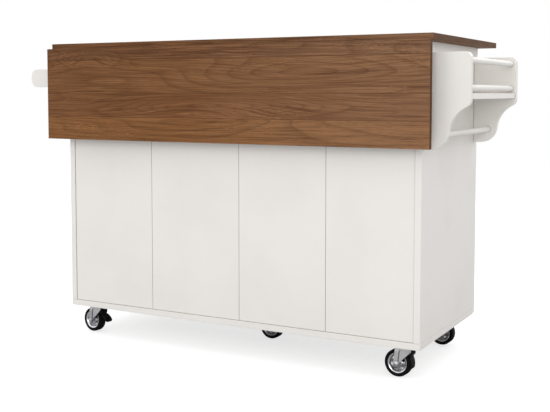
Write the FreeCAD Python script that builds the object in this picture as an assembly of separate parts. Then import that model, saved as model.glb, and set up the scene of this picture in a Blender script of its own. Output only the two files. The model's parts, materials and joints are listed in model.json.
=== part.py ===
"""Rolling kitchen island: a hanging drop leaf, a spice rack at its right end, a towel rack at its left.

Own frame, in millimetres: +X runs towards the spice rack, -Y faces the drop leaf, +Z is up.
The origin lies on the floor, under the middle of the whole island with its leaf down.
"""

import FreeCAD
import Part
import math
import os

Vector = FreeCAD.Vector

# ---- driving dimensions, in mm ---------------------------------------------------------------

# carcass
cabinet_width = 1163.0
carcass_depth = 478.0
carcass_height = 809.0
board = 18.0
back_panel_thickness = 9.0
back_panel_recess = 2.5
panel_seam = 1.2
panel_edge_gap = 0.8
seams_from_right = (273.5, 548.0, 851.6)
batten_width = 60.0
batten_thickness = 15.0
stretcher_depth = 80.0
mid_rail_depth = 60.0
edge_ease = 0.8

# worktop and leaf
top_thickness = 16.0
top_overhang_end = 39.5
top_overhang_leaf = 32.0
top_overhang_door = 54.0
leaf_length = 277.0
leaf_joint_gap = 1.0
leaf_hinge_radius = 3.0
leaf_hinge_outset = 3.0
leaf_hinge_pin_radius = 1.5
leaf_hinge_count = 4
leaf_hinge_knuckles = 5
leaf_hinge_length = 60.0
leaf_hinge_plate = 27.0
leaf_hinge_sheet = 1.5
leaf_hinge_inset = 110.0
touch_gap = 0.3
running_gap = 0.05

# folding stays of the leaf
stay_drop = 85.0
stay_standoff = 14.0
stay_end_margin = 21.6
stay_width = 14.0
stay_thickness = 3.0
stay_pin_radius = 3.0
stay_slot_depth = 10.0
stay_rail_margin = 13.0
stay_rail_sheet = 2.0
stay_slot_play = 0.5
stay_ear = 2.0
stay_plate_height = 60.0
stay_plate_width = 30.0
stay_plate_sheet = 3.0

# doors, drawers, shelves
front_gap = 3.0
door_thickness = 18.0
door_standoff = 2.0
front_edge_inset = 2.0
drawer_front_height = 150.0
drawer_side = 15.0
drawer_bottom = 6.0
drawer_box_height = 96.0
drawer_back_gap = 53.5
drawer_side_gap = 6.0
runner_bite = 6.5
runner_height = 16.0
runner_back_inset = 2.0
runner_play = 0.5
shelf_thickness = 15.0
shelf_rise = 300.0
shelf_side_gap = 1.0
shelf_front_gap = 12.0
shelf_pin_radius = 2.5
shelf_pin_depth = 8.0
shelf_pin_reach = 7.0
shelf_pin_inset = 70.0

# door hinges and handles
cup_radius = 17.5
cup_depth = 11.5
cup_from_edge = 22.5
cup_flange = 0.8
cup_flange_width = 2.5
cup_wall = 1.5
cup_floor = 1.0
hinge_from_end = 100.0
hinge_arm_reach = 52.0
hinge_arm_width = 16.0
hinge_arm_height = 12.0
hinge_arm_tail = 4.0
hinge_plate_width = 44.0
hinge_plate_sheet = 2.0
hinge_plate_setback = 16.0
handle_length = 152.0
handle_post_spacing = 128.0
handle_radius = 5.0
handle_end_ease = 1.0
handle_post_radius = 4.0
handle_standoff = 21.0
handle_from_edge = 32.0
handle_from_top = 40.0

# spice rack, right end
rack_plate = 18.0
rack_plate_inset = 2.0
rack_far_inset = 3.4
rack_projection = 126.0
rack_top_drop = 31.5
rack_edge_height = 108.3
rack_top_radius = 15.0
rack_corner_radius = 17.0
rack_corner_run = 10.0
rack_slope_deg = 30.3
rack_lobe_radius = 50.0
rack_lobe_reach = 19.0
rack_lobe_turn_deg = -5.8
rack_shelf_thickness = 15.0
rack_shelf_inset = 3.0
rack_shelf_drop = 105.0
rod_radius = 8.5
rack_rod_inset = 16.0
rack_upper_rod_drop = 20.0
rack_lower_rod_rise = 14.0
rack_towel_reach = 44.0
rack_towel_rise = 39.0

# towel rack, left end
towel_reach = 157.0
towel_bracket_height = 56.5
towel_bracket_drop = 60.5
towel_corner_radius = 22.0
towel_rod_count = 3
towel_rod_first = 46.0
towel_rod_last_inset = 23.0

# casters
wheel_radius = 37.5
tread_width = 26.0
tyre_wall = 9.5
tyre_shoulder = 6.0
rim_width = 22.0
rim_ring = 2.5
rim_lip = 2.0
rim_dish = 6.5
rim_dish_rise = 8.0
hub_collar = 2.0
hub_collar_inset = 3.0
hub_radius = 9.0
hub_width = 27.6
axle_radius = 4.0
axle_head_radius = 6.5
axle_head = 3.5
fork_sheet = 2.5
fork_inner_width = 29.0
fork_crown = 4.5
wheel_headroom = 2.9
fork_half_length = 23.0
fork_foot_radius = 9.0
fork_shoulder = 4.0
fork_rake_deg = 26.0
caster_trail = 19.0
caster_plate = 66.0
caster_plate_sheet = 2.5
caster_plate_corner = 7.0
caster_race_radius = 24.0
caster_race_height = 4.3
kingpin_radius = 5.0
kingpin_head_radius = 8.0
kingpin_head = 2.7
screw_hole_radius = 3.0
screw_spacing = 50.0
brake_width = 26.0
brake_cheek = 2.0
brake_cheek_wall = 0.5
brake_web_rise = 8.0
brake_pivot_gap = 10.14
brake_pivot_deg = 37.0
brake_pin_radius = 2.0
brake_barrel_radius = 4.5
brake_barrel_gap = 0.6
brake_neck = 6.0
brake_tab_gap = 1.2
brake_tab_sheet = 3.5
brake_tab_start_deg = 25.0
brake_tab_end_deg = -16.0
brake_lift_deg = 42.0
brake_horn_reach = 8.0
brake_horn_rise = 10.0
brake_horn_tip = 2.5
brake_hood_setback = 6.0
brake_hood_rise = 6.0
brake_tyre_gap = 1.2
caster_inset_left = 66.0
caster_inset_right = 58.0
caster_inset_leaf = 51.0
caster_inset_door = 58.0
caster_turn_deg = {1: -7.5, 2: -3.0, 3: -16.0, 4: -3.0, 5: -3.0}

# how closely an edge's place is compared when edges are picked out
hair = 0.01

# ---- places that follow from the dimensions above ---------------------------------------------

floor_gap = (2 * wheel_radius + wheel_headroom + fork_crown + touch_gap
             + caster_race_height + caster_plate_sheet)
bottom_top = floor_gap + board
carcass_top = floor_gap + carcass_height
top_face = carcass_top + top_thickness
door_back = carcass_depth + door_standoff
door_face = door_back + door_thickness
divider_middle = cabinet_width - seams_from_right[1]
sections = {
    "left": (board, divider_middle - board / 2),
    "right": (divider_middle + board / 2, cabinet_width - board),
}
panel_back = back_panel_recess + back_panel_thickness
drawer_front_top = carcass_top - front_gap
drawer_front_bottom = drawer_front_top - drawer_front_height
door_top = drawer_front_bottom - front_gap
door_bottom = floor_gap + front_edge_inset
mid_rail_bottom = door_top + front_gap / 2 - board / 2
shelf_bottom = bottom_top + shelf_rise
leaf_axis_out = top_overhang_leaf + leaf_joint_gap + leaf_hinge_outset
leaf_axis_height = carcass_top - leaf_hinge_radius - touch_gap
leaf_edge_height = leaf_axis_height + leaf_hinge_outset
leaf_face_out = leaf_axis_out + leaf_hinge_radius + touch_gap
stay_places = (cabinet_width - seams_from_right[2], cabinet_width - seams_from_right[0])
stay_height = leaf_axis_height - stay_drop
stay_slot_out = leaf_face_out - stay_slot_depth
stay_length = leaf_length - stay_drop - stay_end_margin
stay_rest_turn = math.asin((stay_slot_out - stay_standoff) / stay_length)
stay_raised_turn = math.asin((stay_drop + stay_slot_out - leaf_axis_out) / stay_length)
stud_place_hanging = stay_drop + stay_length * math.cos(stay_rest_turn)
stud_place_raised = stay_length * math.cos(stay_raised_turn) - leaf_axis_out + stay_standoff
drawer_back = panel_back + batten_thickness + drawer_back_gap
rack_top = carcass_top - rack_top_drop
rack_near = rack_plate_inset + rack_plate
rack_far = carcass_depth - rack_far_inset - rack_plate
towel_middle = carcass_top - towel_bracket_drop - towel_bracket_height / 2
towel_half = towel_bracket_height / 2

overall_left = -towel_reach
overall_right = cabinet_width + rack_projection
overall_leaf = -(leaf_face_out + top_thickness)
overall_door = door_face + top_overhang_door
to_origin = Vector(-(overall_left + overall_right) / 2, -(overall_leaf + overall_door) / 2, 0)


# ---- small helpers ------------------------------------------------------------------------------

def box(x0, x1, y0, y1, z0, z1):
    return Part.makeBox(x1 - x0, y1 - y0, z1 - z0, Vector(x0, y0, z0))


def eased_board(x0, x1, y0, y1, z0, z1):
    """A board whose twelve edges are lightly rounded."""
    solid = box(x0, x1, y0, y1, z0, z1)
    return solid.makeFillet(edge_ease, solid.Edges)


def rod_x(x0, x1, y, z, radius):
    return Part.makeCylinder(radius, x1 - x0, Vector(x0, y, z), Vector(1, 0, 0))


def rod_y(y0, y1, x, z, radius):
    return Part.makeCylinder(radius, y1 - y0, Vector(x, y0, z), Vector(0, 1, 0))


def rod_z(z0, z1, x, y, radius):
    return Part.makeCylinder(radius, z1 - z0, Vector(x, y, z0), Vector(0, 0, 1))


def line(start, end):
    return Part.LineSegment(start, end).toShape()


def arc(start, middle, end):
    return Part.Arc(start, middle, end).toShape()


def polygon(points):
    return Part.Face(Part.makePolygon(points + points[:1]))


def group(solids):
    return Part.makeCompound(solids)


# ---- carcass --------------------------------------------------------------------------------------

def bottom_board():
    return eased_board(0, cabinet_width, 0, carcass_depth, floor_gap, bottom_top)


def shelf_pin_places():
    """(x of the wall face, direction into the section, y, z) of every shelf pin."""
    places = []
    for low, high in sections.values():
        for face, inward in ((low, 1), (high, -1)):
            for y in (panel_back + shelf_pin_inset, carcass_depth - shelf_pin_inset):
                places.append((face, inward, y, shelf_bottom - shelf_pin_radius))
    return places


def drill_shelf_holes(wall):
    for face, inward, y, z in shelf_pin_places():
        depth = shelf_pin_depth
        start = face - depth if inward > 0 else face
        wall = wall.cut(rod_x(start, start + depth, y, z, shelf_pin_radius))
    return wall


def side_panel(x0):
    wall = eased_board(x0, x0 + board, 0, carcass_depth, bottom_top, carcass_top)
    return drill_shelf_holes(wall)


def centre_divider():
    wall = box(divider_middle - board / 2, divider_middle + board / 2,
               panel_back, carcass_depth, bottom_top, carcass_top)
    return drill_shelf_holes(wall)


def carcass_strips():
    """Stretchers under the worktop, rails below the drawers, and battens behind the back panels."""
    strips = []
    for low, high in sections.values():
        strips.append(box(low, high, panel_back, panel_back + stretcher_depth,
                          carcass_top - board, carcass_top))
        strips.append(box(low, high, carcass_depth - stretcher_depth, carcass_depth,
                          carcass_top - board, carcass_top))
        strips.append(box(low, high, carcass_depth - mid_rail_depth, carcass_depth,
                          mid_rail_bottom, mid_rail_bottom + board))
    half = batten_width / 2
    spans = [(x - half, x + half) for x in stay_places]
    spans.append((board, board + half))
    spans.append((cabinet_width - board - half, cabinet_width - board))
    for x0, x1 in spans:
        strips.append(box(x0, x1, panel_back, panel_back + batten_thickness,
                          bottom_top, carcass_top - board))
    return group(strips)


def back_panels():
    """Four plain panels, from the left end to the right end, with fine open seams all round."""
    edges = [board]
    edges += [cabinet_width - seam for seam in reversed(seams_from_right)]
    edges.append(cabinet_width - board)
    panels = []
    for number in range(len(edges) - 1):
        x0 = edges[number] + (panel_seam / 2 if number else panel_edge_gap)
        x1 = edges[number + 1] - (panel_seam / 2 if number < len(edges) - 2 else panel_edge_gap)
        panels.append(box(x0, x1, back_panel_recess, panel_back,
                          bottom_top + panel_edge_gap, carcass_top))
    return panels


def shelves():
    boards = []
    for low, high in sections.values():
        boards.append(box(low + shelf_side_gap, high - shelf_side_gap,
                          panel_back + batten_thickness + shelf_side_gap,
                          carcass_depth - shelf_front_gap,
                          shelf_bottom, shelf_bottom + shelf_thickness))
    return group(boards)


def shelf_pins():
    pins = []
    for face, inward, y, z in shelf_pin_places():
        start = face - shelf_pin_depth if inward > 0 else face - shelf_pin_reach
        pins.append(rod_x(start, start + shelf_pin_depth + shelf_pin_reach, y, z, shelf_pin_radius))
    return group(pins)


# ---- worktop, leaf and their hinges -----------------------------------------------------------------

def tabletop():
    return eased_board(-top_overhang_end, cabinet_width + top_overhang_end,
                       -top_overhang_leaf, overall_door, carcass_top, top_face)


def drop_leaf():
    return eased_board(-top_overhang_end, cabinet_width + top_overhang_end,
                       -leaf_face_out - top_thickness, -leaf_face_out,
                       leaf_edge_height - leaf_length, leaf_edge_height)


def leaf_hinge_starts():
    first = -top_overhang_end + leaf_hinge_inset
    last = cabinet_width + top_overhang_end - leaf_hinge_inset - leaf_hinge_length
    step = (last - first) / (leaf_hinge_count - 1)
    return [first + step * number for number in range(leaf_hinge_count)]


def hinge_knuckles(x0, numbers, bore):
    """Knuckles of one hinge half, each with a tongue down to its hanging plate."""
    pitch = leaf_hinge_length / leaf_hinge_knuckles
    knuckles = []
    for number in numbers:
        start = x0 + pitch * number + touch_gap / 2
        end = x0 + pitch * (number + 1) - touch_gap / 2
        sleeve = rod_x(start, end, -leaf_axis_out, leaf_axis_height, leaf_hinge_radius)
        tongue = box(start, end,
                     -leaf_axis_out - leaf_hinge_radius,
                     -leaf_axis_out - leaf_hinge_radius - touch_gap + leaf_hinge_sheet,
                     leaf_axis_height - leaf_hinge_radius - 2 * touch_gap, leaf_axis_height)
        hole = rod_x(start, end, -leaf_axis_out, leaf_axis_height, bore)
        knuckles.append(sleeve.fuse(tongue).cut(hole))
    return knuckles


def hanging_hinge_half(x0, numbers, bore):
    """A hinge half with its plate hanging down, flat on the inner face of the leaf."""
    inner = -leaf_axis_out - leaf_hinge_radius - touch_gap
    top = leaf_axis_height - leaf_hinge_radius - 2 * touch_gap
    half = box(x0, x0 + leaf_hinge_length, inner, inner + leaf_hinge_sheet,
               top - leaf_hinge_plate, top)
    for knuckle in hinge_knuckles(x0, numbers, bore):
        half = half.fuse(knuckle)
    return half.removeSplitter()


def leaf_hinge_plates():
    bore = leaf_hinge_pin_radius + running_gap
    numbers = range(1, leaf_hinge_knuckles, 2)
    return group([hanging_hinge_half(x0, numbers, bore) for x0 in leaf_hinge_starts()])


def leaf_hinge_fixed():
    """The halves under the worktop, turned a quarter from hanging and mirrored, with their pins."""
    solids = []
    axis_point = Vector(0, -leaf_axis_out, leaf_axis_height)
    numbers = range(0, leaf_hinge_knuckles, 2)
    for x0 in leaf_hinge_starts():
        half = hanging_hinge_half(x0, numbers, leaf_hinge_pin_radius)
        half.rotate(axis_point, Vector(1, 0, 0), -90)
        half = half.mirror(axis_point, Vector(0, 1, 0))
        solids.append(half)
        solids.append(rod_x(x0, x0 + leaf_hinge_length, -leaf_axis_out, leaf_axis_height,
                            leaf_hinge_pin_radius))
    return group(solids)


# ---- folding stays --------------------------------------------------------------------------------

def stay_brackets():
    """A plate on the panels with two ears and the pin that carries the stay."""
    solids = []
    ear_start = stay_thickness / 2 + touch_gap
    for x in stay_places:
        plate = box(x - stay_plate_width / 2, x + stay_plate_width / 2,
                    back_panel_recess - stay_plate_sheet, back_panel_recess,
                    stay_height - stay_plate_height / 2, stay_height + stay_plate_height / 2)
        for start in (x - ear_start - stay_ear, x + ear_start):
            ear = box(start, start + stay_ear, -stay_standoff, back_panel_recess,
                      stay_height - stay_width / 2, stay_height + stay_width / 2)
            ear = ear.fuse(rod_x(start, start + stay_ear, -stay_standoff, stay_height,
                                 stay_width / 2))
            plate = plate.fuse(ear)
        pin = rod_x(x - ear_start - stay_ear, x + ear_start + stay_ear,
                    -stay_standoff, stay_height, stay_pin_radius)
        solids.append(plate.removeSplitter().cut(pin))
        solids.append(pin)
    return group(solids)


def stay(x):
    """One flat stay, hanging beside its bracket, with a stud at its free end."""
    x0 = x - stay_thickness / 2
    bar = box(x0, x0 + stay_thickness, -stay_standoff - stay_width / 2,
              -stay_standoff + stay_width / 2, stay_height - stay_length, stay_height)
    for z in (stay_height, stay_height - stay_length):
        bar = bar.fuse(rod_x(x0, x0 + stay_thickness, -stay_standoff, z, stay_width / 2))
    stud = rod_x(x0 + stay_thickness, x0 + stay_thickness + touch_gap + stay_ear,
                 -stay_standoff, stay_height - stay_length, stay_pin_radius)
    bar = bar.fuse(stud).removeSplitter()
    bar = bar.cut(rod_x(x0, x0 + stay_thickness, -stay_standoff, stay_height,
                        stay_pin_radius + running_gap))
    bar.rotate(Vector(0, -stay_standoff, stay_height), Vector(1, 0, 0),
               -math.degrees(stay_rest_turn))
    return bar


def leaf_stay_rails():
    """A slotted rail on the inner face of the leaf for each stay, just beside the stay's stud."""
    rails = []
    slot = stay_pin_radius + stay_slot_play
    depth = stay_slot_depth + 2 * slot
    slot_top = leaf_axis_height - stud_place_raised
    slot_bottom = leaf_axis_height - stud_place_hanging
    top = slot_top + stay_rail_margin
    bottom = slot_bottom - stay_rail_margin
    for x in stay_places:
        fin_start = x + stay_thickness / 2 + 2 * touch_gap + stay_ear
        fin_end = fin_start + stay_rail_sheet
        base = box(fin_start, fin_start + stay_width, -leaf_face_out,
                   -leaf_face_out + stay_rail_sheet, bottom, top)
        fin = box(fin_start, fin_end, -leaf_face_out, -leaf_face_out + depth, bottom, top)
        groove = box(fin_start, fin_end, -stay_slot_out - slot, -stay_slot_out + slot,
                     slot_bottom, slot_top)
        for z in (slot_bottom, slot_top):
            groove = groove.fuse(rod_x(fin_start, fin_end, -stay_slot_out, z, slot))
        rails.append(base.fuse(fin).removeSplitter().cut(groove.removeSplitter()))
    return group(rails)


# ---- doors and drawers ------------------------------------------------------------------------------

def door_spans():
    """(x0, x1, x of the hinge edge, direction from the hinge edge into the door) of the four doors."""
    left = front_edge_inset
    middle = divider_middle
    right = cabinet_width - front_edge_inset
    spans = []
    for low, high in ((left, middle - front_gap / 2), (middle + front_gap / 2, right)):
        half = (low + high) / 2
        spans.append((low, half - front_gap / 2, low, 1))
        spans.append((half + front_gap / 2, high, high, -1))
    return spans


def hinge_heights():
    return (door_bottom + hinge_from_end, door_top - hinge_from_end)


def door(x0, x1, hinge_x, inward):
    panel = eased_board(x0, x1, door_back, door_face, door_bottom, door_top)
    for z in hinge_heights():
        panel = panel.cut(rod_y(door_back, door_back + cup_depth,
                                hinge_x + inward * cup_from_edge, z, cup_radius))
    return panel


def hinge_cup(x, z):
    """A pressed cup set in the door, with a thin flange standing just proud of its back."""
    cup = rod_y(door_back, door_back + cup_depth, x, z, cup_radius)
    flange = rod_y(door_back - cup_flange, door_back, x, z, cup_radius + cup_flange_width)
    hollow = rod_y(door_back - cup_flange, door_back + cup_depth - cup_floor, x, z,
                   cup_radius - cup_wall)
    return cup.fuse(flange).removeSplitter().cut(hollow)


def bar_handle(x, z, upright):
    """A round bar on two posts, its bar and posts kept as three plain solids."""
    half = handle_length / 2
    reach = handle_post_spacing / 2
    bar_y = door_face + handle_standoff
    if upright:
        bar = rod_z(z - half, z + half, x, bar_y, handle_radius)
        ends = [(x, z - reach), (x, z + reach)]
    else:
        bar = rod_x(x - half, x + half, bar_y, z, handle_radius)
        ends = [(x - reach, z), (x + reach, z)]
    bar = bar.makeFillet(handle_end_ease, bar.Edges[:1] + bar.Edges[-1:])
    posts = [rod_y(door_face, bar_y, px, pz, handle_post_radius).cut(bar) for px, pz in ends]
    return [bar] + posts


def door_fittings(x0, x1, hinge_x, inward):
    edge = x1 if inward > 0 else x0
    solids = bar_handle(edge - inward * handle_from_edge,
                        door_top - handle_from_top - handle_length / 2, True)
    for z in hinge_heights():
        solids.append(hinge_cup(hinge_x + inward * cup_from_edge, z))
    return group(solids)


def door_hinge_arms():
    """The fixed half of each cup hinge: a mounting plate on the wall and the arm over it."""
    walls = [(sections["left"][0], 1), (sections["left"][1], -1),
             (sections["right"][0], 1), (sections["right"][1], -1)]
    arms = []
    arm_end = door_back - cup_flange - 2 * touch_gap
    for face, inward in walls:
        for z in hinge_heights():
            near, far = sorted((face, face + inward * hinge_plate_sheet))
            plate = box(near, far, arm_end - hinge_arm_reach, arm_end - hinge_plate_setback,
                        z - hinge_plate_width / 2, z + hinge_plate_width / 2)
            near, far = sorted((face, face + inward * hinge_arm_height))
            arm = box(near, far, arm_end - hinge_arm_reach - hinge_arm_tail, arm_end,
                      z - hinge_arm_width / 2, z + hinge_arm_width / 2)
            arms.append(plate.fuse(arm).removeSplitter())
    return group(arms)


def front_span(side):
    left = front_edge_inset
    right = cabinet_width - front_edge_inset
    if side == "left":
        return left, divider_middle - front_gap / 2
    return divider_middle + front_gap / 2, right


def drawer_front(side):
    x0, x1 = front_span(side)
    return eased_board(x0, x1, door_back, door_face, drawer_front_bottom, drawer_front_top)


def drawer_box_bottom():
    room = carcass_top - board - mid_rail_bottom - board
    return mid_rail_bottom + board + (room - drawer_box_height) / 2


def drawer_box(side):
    """Two grooved sides, a front and a back board, and a thin bottom let in between them."""
    low, high = sections[side]
    x0 = low + drawer_side_gap
    x1 = high - drawer_side_gap
    z0 = drawer_box_bottom()
    z1 = z0 + drawer_box_height
    y0 = drawer_back
    groove_depth = runner_bite + runner_play
    middle = (z0 + z1) / 2
    half = runner_height / 2 + runner_play
    boards = []
    for start, groove_start in ((x0, x0), (x1 - drawer_side, x1 - groove_depth)):
        wall = box(start, start + drawer_side, y0, door_back, z0, z1)
        groove = box(groove_start, groove_start + groove_depth, y0, door_back - drawer_side,
                     middle - half, middle + half)
        boards.append(wall.cut(groove))
    inner0 = x0 + drawer_side
    inner1 = x1 - drawer_side
    boards.append(box(inner0, inner1, y0, y0 + drawer_side, z0, z1))
    boards.append(box(inner0, inner1, door_back - drawer_side, door_back, z0, z1))
    boards.append(box(inner0, inner1, y0 + drawer_side, door_back - drawer_side,
                      z0 + drawer_bottom, z0 + 2 * drawer_bottom))
    return group(boards)


def drawer_handle(side):
    x0, x1 = front_span(side)
    return group(bar_handle((x0 + x1) / 2, (drawer_front_bottom + drawer_front_top) / 2, False))


def drawer_runners():
    """Fixed strips on the walls that enter the grooves of the drawer sides."""
    middle = drawer_box_bottom() + drawer_box_height / 2
    half = runner_height / 2
    back = drawer_back + runner_back_inset
    front = door_back - drawer_side - front_gap
    reach = drawer_side_gap + runner_bite
    strips = []
    for low, high in sections.values():
        for x0 in (low, high - reach):
            strips.append(box(x0, x0 + reach, back, front, middle - half, middle + half))
    return group(strips)


# ---- spice rack and towel rack ----------------------------------------------------------------------

def rack_outline():
    """Outline of a rack side plate in (distance from the cabinet, height), walked upwards.

    A round lobe at the foot runs into a hollow curve, a short slope, a tight corner and a straight
    outer edge. The hollow's radius follows from the projection.
    """
    slope = math.radians(rack_slope_deg)
    leave = math.radians(90.0 + rack_lobe_turn_deg)
    turn = math.radians(rack_lobe_turn_deg)
    edge_low = rack_top - rack_top_radius - rack_edge_height
    corner_start = (rack_projection - rack_corner_radius * (1 - math.sin(slope)),
                    edge_low - rack_corner_radius * math.cos(slope))
    slope_start = (corner_start[0] - rack_corner_run * math.cos(slope),
                   corner_start[1] - rack_corner_run * math.sin(slope))
    lobe_out = rack_lobe_reach + rack_lobe_radius * math.cos(turn)
    hollow = (slope_start[0] - lobe_out) / (math.sin(leave) - math.sin(slope))
    lobe_end = (lobe_out, slope_start[1] - hollow * (math.cos(slope) - math.cos(leave)))
    lobe_middle = (rack_lobe_reach, lobe_end[1] - rack_lobe_radius * math.sin(turn))

    def on_circle(middle, radius, angle):
        return middle[0] + radius * math.cos(angle), middle[1] + radius * math.sin(angle)

    hollow_middle = (lobe_end[0] + hollow * math.sin(leave), lobe_end[1] - hollow * math.cos(leave))
    corner_middle = (rack_projection - rack_corner_radius, edge_low)
    top_middle = (rack_projection - rack_top_radius, rack_top - rack_top_radius)
    foot = lobe_middle[1] - rack_lobe_radius
    return [
        ("line", (0.0, foot), (lobe_middle[0], foot)),
        ("arc", (lobe_middle[0], foot),
         on_circle(lobe_middle, rack_lobe_radius, (turn - math.pi / 2) / 2), lobe_end),
        ("arc", lobe_end,
         on_circle(hollow_middle, hollow, math.pi / 2 + (leave + slope) / 2), slope_start),
        ("line", slope_start, corner_start),
        ("arc", corner_start,
         on_circle(corner_middle, rack_corner_radius, (slope - math.pi / 2) / 2),
         (rack_projection, edge_low)),
        ("line", (rack_projection, edge_low), (rack_projection, rack_top - rack_top_radius)),
        ("arc", (rack_projection, rack_top - rack_top_radius),
         on_circle(top_middle, rack_top_radius, math.pi / 4),
         (rack_projection - rack_top_radius, rack_top)),
        ("line", (rack_projection - rack_top_radius, rack_top), (0.0, rack_top)),
        ("line", (0.0, rack_top), (0.0, foot)),
    ]


def rack_foot():
    return rack_outline()[0][1][1]


def rack_plates():
    plates = []
    for y in (rack_plate_inset, rack_far):
        edges = []
        for kind, *points in rack_outline():
            places = [Vector(cabinet_width + out, y, height) for out, height in points]
            edges.append(line(*places) if kind == "line" else arc(*places))
        plate = Part.Face(Part.Wire(edges)).extrude(Vector(0, rack_plate, 0))
        rims = [edge for edge in plate.Edges if is_rim(edge, y)]
        plates.append(plate.makeFillet(edge_ease, rims))
    return group(plates)


def is_rim(edge, y):
    """True for an edge that lies in one face of a plate and clear of the cabinet wall."""
    bounds = edge.BoundBox
    flat = bounds.YLength < hair
    return flat and bounds.XMax > cabinet_width + edge_ease


def rack_shelf():
    z1 = rack_top - rack_shelf_drop
    return eased_board(cabinet_width, overall_right - rack_shelf_inset, rack_near, rack_far,
                       z1 - rack_shelf_thickness, z1)


def rack_rods():
    shelf_top = rack_top - rack_shelf_drop
    reach = rack_projection - rack_rod_inset
    places = [(reach, rack_top - rack_upper_rod_drop),
              (reach, shelf_top + rack_lower_rod_rise),
              (rack_towel_reach, rack_foot() + rack_towel_rise)]
    return group([rod_y(rack_near, rack_far, cabinet_width + out, z, rod_radius)
                  for out, z in places])


def towel_brackets():
    brackets = []
    corner = towel_corner_radius
    for y in (rack_plate_inset, rack_far):
        plate = box(-towel_reach, 0, y, y + rack_plate,
                    towel_middle - towel_half, towel_middle + towel_half)
        upright = [edge for edge in plate.Edges
                   if edge.BoundBox.XMax < 1.0 - towel_reach and edge.BoundBox.YLength > 1.0]
        plate = plate.makeFillet(corner, upright)
        rims = [edge for edge in plate.Edges
                if edge.BoundBox.YLength < hair and edge.BoundBox.XMin < -1.0]
        brackets.append(plate.makeFillet(edge_ease, rims))
    return group(brackets)


def towel_rods():
    step = (towel_reach - towel_rod_last_inset - towel_rod_first) / (towel_rod_count - 1)
    return group([rod_y(rack_near, rack_far, -towel_rod_first - step * number, towel_middle,
                        rod_radius) for number in range(towel_rod_count)])


# ---- casters ------------------------------------------------------------------------------------------

def caster_places():
    """Swivel axis of each caster: leaf side left and right, door side left and right, and divider."""
    left = caster_inset_left
    right = cabinet_width - caster_inset_right
    near = caster_inset_leaf
    far = carcass_depth - caster_inset_door
    return {1: (left, near), 2: (right, near), 3: (left, far), 4: (right, far),
            5: (divider_middle, carcass_depth / 2)}


def place_caster(shape, number):
    """Turns a caster piece from its own axes, swivel at the origin and rolling along X, into place."""
    x, y = caster_places()[number]
    shape.rotate(Vector(0, 0, 0), Vector(0, 0, 1), caster_turn_deg[number])
    shape.translate(Vector(x, y, 0))
    return shape


def revolved(points):
    """A solid of revolution about the axle from (distance along it, radius) points."""
    face = polygon([Vector(-caster_trail, along, wheel_radius + radius) for along, radius in points])
    return face.revolve(Vector(-caster_trail, 0, wheel_radius), Vector(0, 1, 0), 360)


def caster_tyre(number):
    half = tread_width / 2
    rim_radius = wheel_radius - tyre_wall
    solid = revolved([(-half, rim_radius), (half, rim_radius), (half, wheel_radius),
                      (-half, wheel_radius)])
    shoulders = [edge for edge in solid.Edges
                 if abs(edge.BoundBox.ZMax - 2 * wheel_radius) < hair
                 and edge.BoundBox.YLength < hair]
    return place_caster(solid.makeFillet(tyre_shoulder, shoulders), number)


def caster_rim(number):
    """A dished wheel centre: outer ring, sloping web and hub sleeve, bored for the axle."""
    rim_radius = wheel_radius - tyre_wall
    half = rim_width / 2
    side = [(hub_width / 2, axle_radius + running_gap),
            (hub_width / 2, hub_radius),
            (half - hub_collar_inset, hub_radius + hub_collar),
            (half - rim_dish, rim_radius - rim_dish_rise),
            (half - rim_lip, rim_radius - rim_ring),
            (half, rim_radius - rim_ring),
            (half, rim_radius)]
    mirrored = [(-along, radius) for along, radius in reversed(side)]
    return place_caster(revolved(side + mirrored), number)


def fork_leg(side):
    """One tapering leg; its trailing edge is nearly upright and its leading edge is raked."""
    foot = fork_foot_radius
    rake = math.radians(fork_rake_deg)
    crown_back = Vector(-fork_half_length, 0, crown_level())
    crown_front = Vector(fork_half_length, 0, crown_level())
    shoulder = crown_front - Vector(0, 0, fork_crown + fork_shoulder)
    axle = Vector(-caster_trail, 0, wheel_radius)
    foot_front = axle + Vector(foot * math.cos(rake), 0, foot * math.sin(rake))
    foot_low = axle - Vector(0, 0, foot)
    foot_back = axle - Vector(foot, 0, 0)
    outline = [
        line(crown_back, crown_front),
        line(crown_front, shoulder),
        line(shoulder, foot_front),
        arc(foot_front, foot_low, foot_back),
        line(foot_back, crown_back),
    ]
    leg = Part.Face(Part.Wire(outline)).extrude(Vector(0, fork_sheet, 0))
    start = fork_inner_width / 2 if side > 0 else -fork_inner_width / 2 - fork_sheet
    leg.translate(Vector(0, start, 0))
    return leg


def crown_level():
    return floor_gap - caster_plate_sheet - caster_race_height - touch_gap


def caster_fork(number):
    """The pressed fork, with the axle bolt through its feet as a second solid."""
    half_width = fork_inner_width / 2 + fork_sheet
    top = crown_level()
    crown = box(-fork_half_length, fork_half_length, -half_width, half_width, top - fork_crown, top)
    fork = crown.fuse(fork_leg(1)).fuse(fork_leg(-1)).removeSplitter()
    fork = fork.cut(rod_z(top - fork_crown, top, 0, 0, kingpin_radius + running_gap))
    axle = rod_y(-half_width - axle_head, half_width + axle_head,
                 -caster_trail, wheel_radius, axle_radius)
    for start in (-half_width - axle_head, half_width):
        head = rod_y(start, start + axle_head, -caster_trail, wheel_radius, axle_head_radius)
        axle = axle.fuse(head)
    axle = axle.removeSplitter()
    fork = fork.cut(rod_y(-half_width, half_width, -caster_trail, wheel_radius, axle_radius))
    return place_caster(group([fork, axle]), number)


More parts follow.
